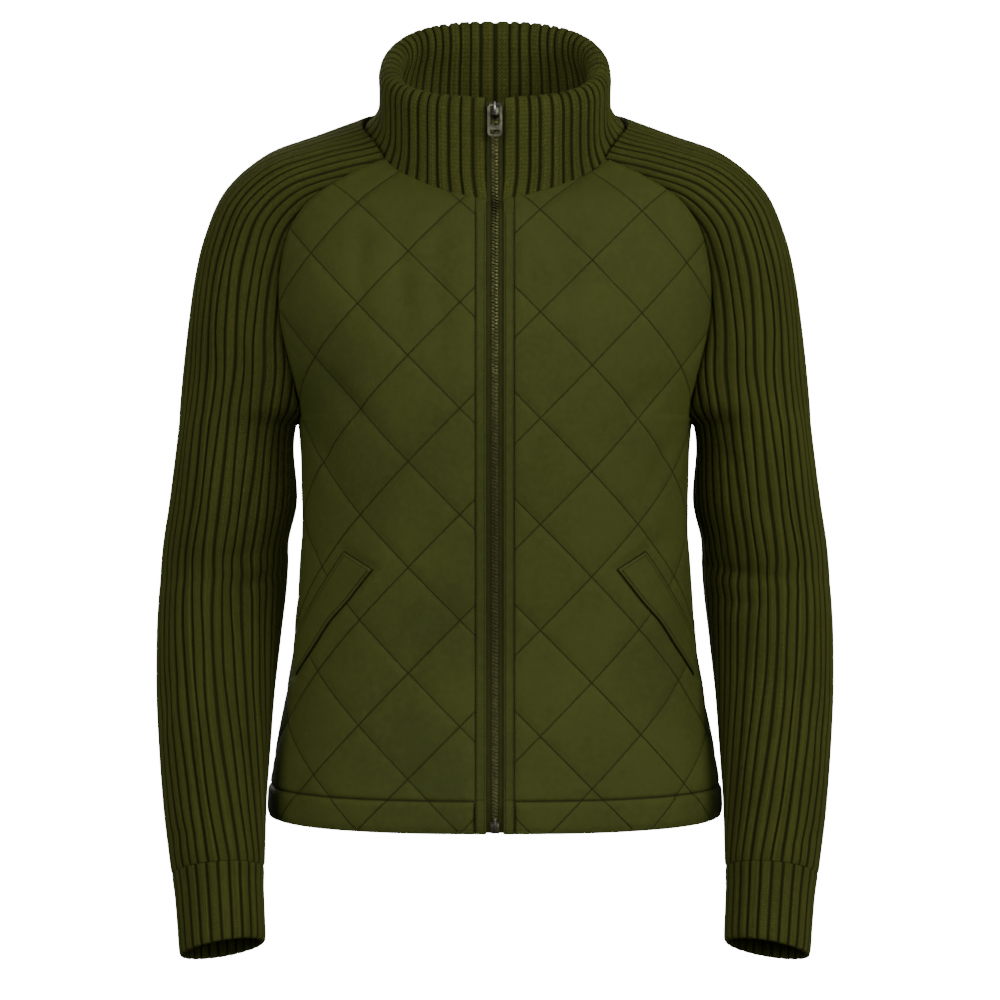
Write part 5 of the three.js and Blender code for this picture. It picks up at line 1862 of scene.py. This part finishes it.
@functools.lru_cache(maxsize=None)
def metal_material(name, tone, roughness, spread=0.5):
    """Aged metal: darker in cloudy patches, brighter where worn."""
    material, surface, place, _ = new_material(name)
    base = colour(tone)
    cloud = noise(place, 140, 4, 0.65)
    speck = noise(place, 900, 3, 0.6)
    worn = (cloud * 0.7 + speck * 0.3).between(0.38, 0.66)
    feed(surface, "Base Color", mix_colour(place, scaled(base, 1 - spread), scaled(base, 1 + spread), worn))
    feed(surface, "Roughness", (1 - worn) * 0.2 + roughness)
    set_evenly(surface, Metallic=0.92)
    bump(surface, speck, 0.00006, 0.5)
    return material


def brass_material():
    return metal_material("antique_brass", "brass", 0.34, 0.15)


def gunmetal_material():
    return metal_material("gunmetal", "gunmetal", 0.28)


def bail_material():
    return metal_material("polished_metal", "polished", 0.2)


# Stage

WHITE = (1, 1, 1, 1)

# Backdrop, camera and lights, in metres
FLOOR_Z = -1.02
DOME_RADIUS = 9.0
DOME_CURVE = 3.0
DOME_HEIGHT = 9.0
DOME_STEPS = 12
DOME_TURNS = 64
CAMERA_PLACE = (0.00425, -3.0, -0.320)
CAMERA_LENS = 127.06
LIGHT_TARGET = (0, 0, -0.3)

# Area lights: name, place, width and height, watts
LIGHTS = (
    ("right", (2.3, -1.9, 0.8), (1.4, 1.4), 66),
    ("left", (-2.3, -1.9, 0.6), (1.4, 1.4), 41),
    ("front", (0.6, -3.2, 0.1), (1.1, 1.1), 26),
    ("top", (0.3, -0.9, 2.2), (1.8, 1.2), 6),
    ("back", (-0.6, 3.0, 0.9), (1.6, 1.6), 105),
)
WORLD_STRENGTH = 0.11


def dome_rows():
    """Reach and height of the backdrop's rings: the floor's edge, its curve and the round roof."""
    angles = [k / DOME_STEPS * math.pi / 2 for k in range(1, DOME_STEPS + 1)]
    floor, spring = DOME_RADIUS - DOME_CURVE, FLOOR_Z + DOME_CURVE
    rows = [(floor, FLOOR_Z)]
    rows += [(floor + DOME_CURVE * math.sin(a), spring - DOME_CURVE * math.cos(a)) for a in angles]
    return rows + [(DOME_RADIUS * math.cos(a), spring + DOME_HEIGHT * math.sin(a)) for a in angles]


def dome_mesh():
    """The rings turned about the middle, closed at the floor's centre and at the top."""
    rows = dome_rows()
    turns = DOME_TURNS
    points = [(0, 0, FLOOR_Z)]
    for reach, z in rows[:-1]:
        for k in range(turns):
            angle = k / turns * 2 * math.pi
            points.append((reach * math.cos(angle), reach * math.sin(angle), z))
    points.append((0, 0, rows[-1][1]))
    faces = []
    top = 1 + (len(rows) - 2) * turns
    for k in range(turns):
        beside = (k + 1) % turns
        faces.append((0, 1 + k, 1 + beside))
        for low in range(1, top, turns):
            high = low + turns
            faces.append((low + k, high + k, high + beside, low + beside))
        faces.append((top + k, len(points) - 1, top + beside))
    mesh = bpy.data.meshes.new("backdrop")
    mesh.from_pydata(points, [], faces)
    shade_smooth(mesh)
    return mesh


def paper_material():
    material, surface, place, _ = new_material("white_paper")
    share = noise(place, 3, 2)
    feed(surface, "Base Color", mix_colour(place, scaled(WHITE, 0.90), scaled(WHITE, 0.93), share))
    set_evenly(surface, Roughness=0.9, Specular_IOR_Level=0.1, Emission_Color=WHITE, Emission_Strength=16.0)
    return material


def make_backdrop():
    """A pale floor that curves up into a round wall and closes overhead, seen but casting no light."""
    backdrop = link("backdrop", dome_mesh())
    backdrop.data.materials.append(paper_material())
    backdrop.visible_diffuse = False
    backdrop.visible_glossy = False
    backdrop.visible_shadow = False


def area_light(name, place, size, power):
    light = bpy.data.lights.new(name, "AREA")
    light.shape = "RECTANGLE"
    light.size, light.size_y = size
    light.energy = power
    thing = bpy.data.objects.new(name, light)
    thing.location = place
    thing.rotation_euler = (Vector(LIGHT_TARGET) - Vector(place)).to_track_quat("-Z", "Y").to_euler()
    thing.visible_camera = False
    bpy.context.scene.collection.objects.link(thing)


def add_lights():
    for light in LIGHTS:
        area_light(*light)
    world = bpy.data.worlds.new("white_room")
    world.use_nodes = True
    background = world.node_tree.nodes["Background"]
    background.inputs["Color"].default_value = WHITE
    background.inputs["Strength"].default_value = WORLD_STRENGTH
    bpy.context.scene.world = world


def add_camera():
    camera = bpy.data.cameras.new("camera")
    camera.lens = CAMERA_LENS
    camera.sensor_width = 36
    camera.clip_end = 50
    thing = bpy.data.objects.new("camera", camera)
    thing.location = CAMERA_PLACE
    thing.rotation_euler = (math.pi / 2, 0, 0)
    bpy.context.scene.collection.objects.link(thing)
    bpy.context.scene.camera = thing


# Operators


class JACKET_OT_panels(bpy.types.Operator):
    """Build the quilted fronts and back"""

    bl_idname = "jacket.panels"
    bl_label = "Quilted Panels"

    def execute(self, context):
        for key in ("left", "right", "back"):
            make_panel(key)
        return {"FINISHED"}


class JACKET_OT_knit(bpy.types.Operator):
    """Build the rib-knit sleeves, cuffs and collar"""

    bl_idname = "jacket.knit"
    bl_label = "Rib Knit"

    def execute(self, context):
        for make in (make_sleeve, make_cuff):
            for key in ("left", "right"):
                make(key)
        make_collar()
        return {"FINISHED"}


class JACKET_OT_trim(bpy.types.Operator):
    """Build the woven strips beside the zip and the pocket welts"""

    bl_idname = "jacket.trim"
    bl_label = "Strips and Welts"

    def execute(self, context):
        for key in ("left", "right"):
            make_strip(key)
            make_welt(key)
        return {"FINISHED"}


class JACKET_OT_zip(bpy.types.Operator):
    """Build the zip: tapes, teeth, slider, pull and retainer"""

    bl_idname = "jacket.zip"
    bl_label = "Zip"

    def execute(self, context):
        for key in ("left", "right"):
            make_tape(key)
        make_teeth()
        make_bail()
        make_slider()
        make_pull()
        make_retainer()
        return {"FINISHED"}


class JACKET_OT_sewing(bpy.types.Operator):
    """Sew the quilting, the hem and the edges of the trim"""

    bl_idname = "jacket.sewing"
    bl_label = "Sewing"

    def execute(self, context):
        for key in ("left", "right", "back"):
            make_stitches("quilt_sewing_" + key, quilt_lines(key) + hem_line(key))
        for key in ("left", "right"):
            make_stitches("trim_sewing_" + key, strip_lines(key) + welt_lines(key))
        return {"FINISHED"}


class JACKET_OT_stage(bpy.types.Operator):
    """Set up the white backdrop, the lights and the camera"""

    bl_idname = "jacket.stage"
    bl_label = "Stage"

    def execute(self, context):
        make_backdrop()
        add_lights()
        add_camera()
        return {"FINISHED"}


class JACKET_PT_panel(bpy.types.Panel):
    """Sizes, colours and building steps of the jacket"""

    bl_label = "Jacket"
    bl_idname = "JACKET_PT_panel"
    bl_space_type = "VIEW_3D"
    bl_region_type = "UI"
    bl_category = "Jacket"

    def draw(self, context):
        layout = self.layout
        for name in ("jacket_sizes", "jacket_colours"):
            group = getattr(context.scene, name)
            for prop in group.bl_rna.properties:
                if prop.identifier not in ("rna_type", "name"):
                    layout.prop(group, prop.identifier)
        for step in STEPS:
            layout.operator(step.bl_idname)


STEPS = (
    JACKET_OT_panels,
    JACKET_OT_knit,
    JACKET_OT_trim,
    JACKET_OT_zip,
    JACKET_OT_sewing,
    JACKET_OT_stage,
)
CLASSES = (JacketSizes, JacketColours) + STEPS + (JACKET_PT_panel,)


def register():
    for item in CLASSES:
        bpy.utils.register_class(item)
    bpy.types.Scene.jacket_sizes = bpy.props.PointerProperty(type=JacketSizes)
    bpy.types.Scene.jacket_colours = bpy.props.PointerProperty(type=JacketColours)


def unregister():
    del bpy.types.Scene.jacket_sizes
    del bpy.types.Scene.jacket_colours
    for item in reversed(CLASSES):
        bpy.utils.unregister_class(item)


def main():
    register()
    bpy.ops.jacket.panels()
    bpy.ops.jacket.knit()
    bpy.ops.jacket.trim()
    bpy.ops.jacket.zip()
    bpy.ops.jacket.sewing()
    bpy.ops.jacket.stage()


if __name__ == "__main__":
    main()
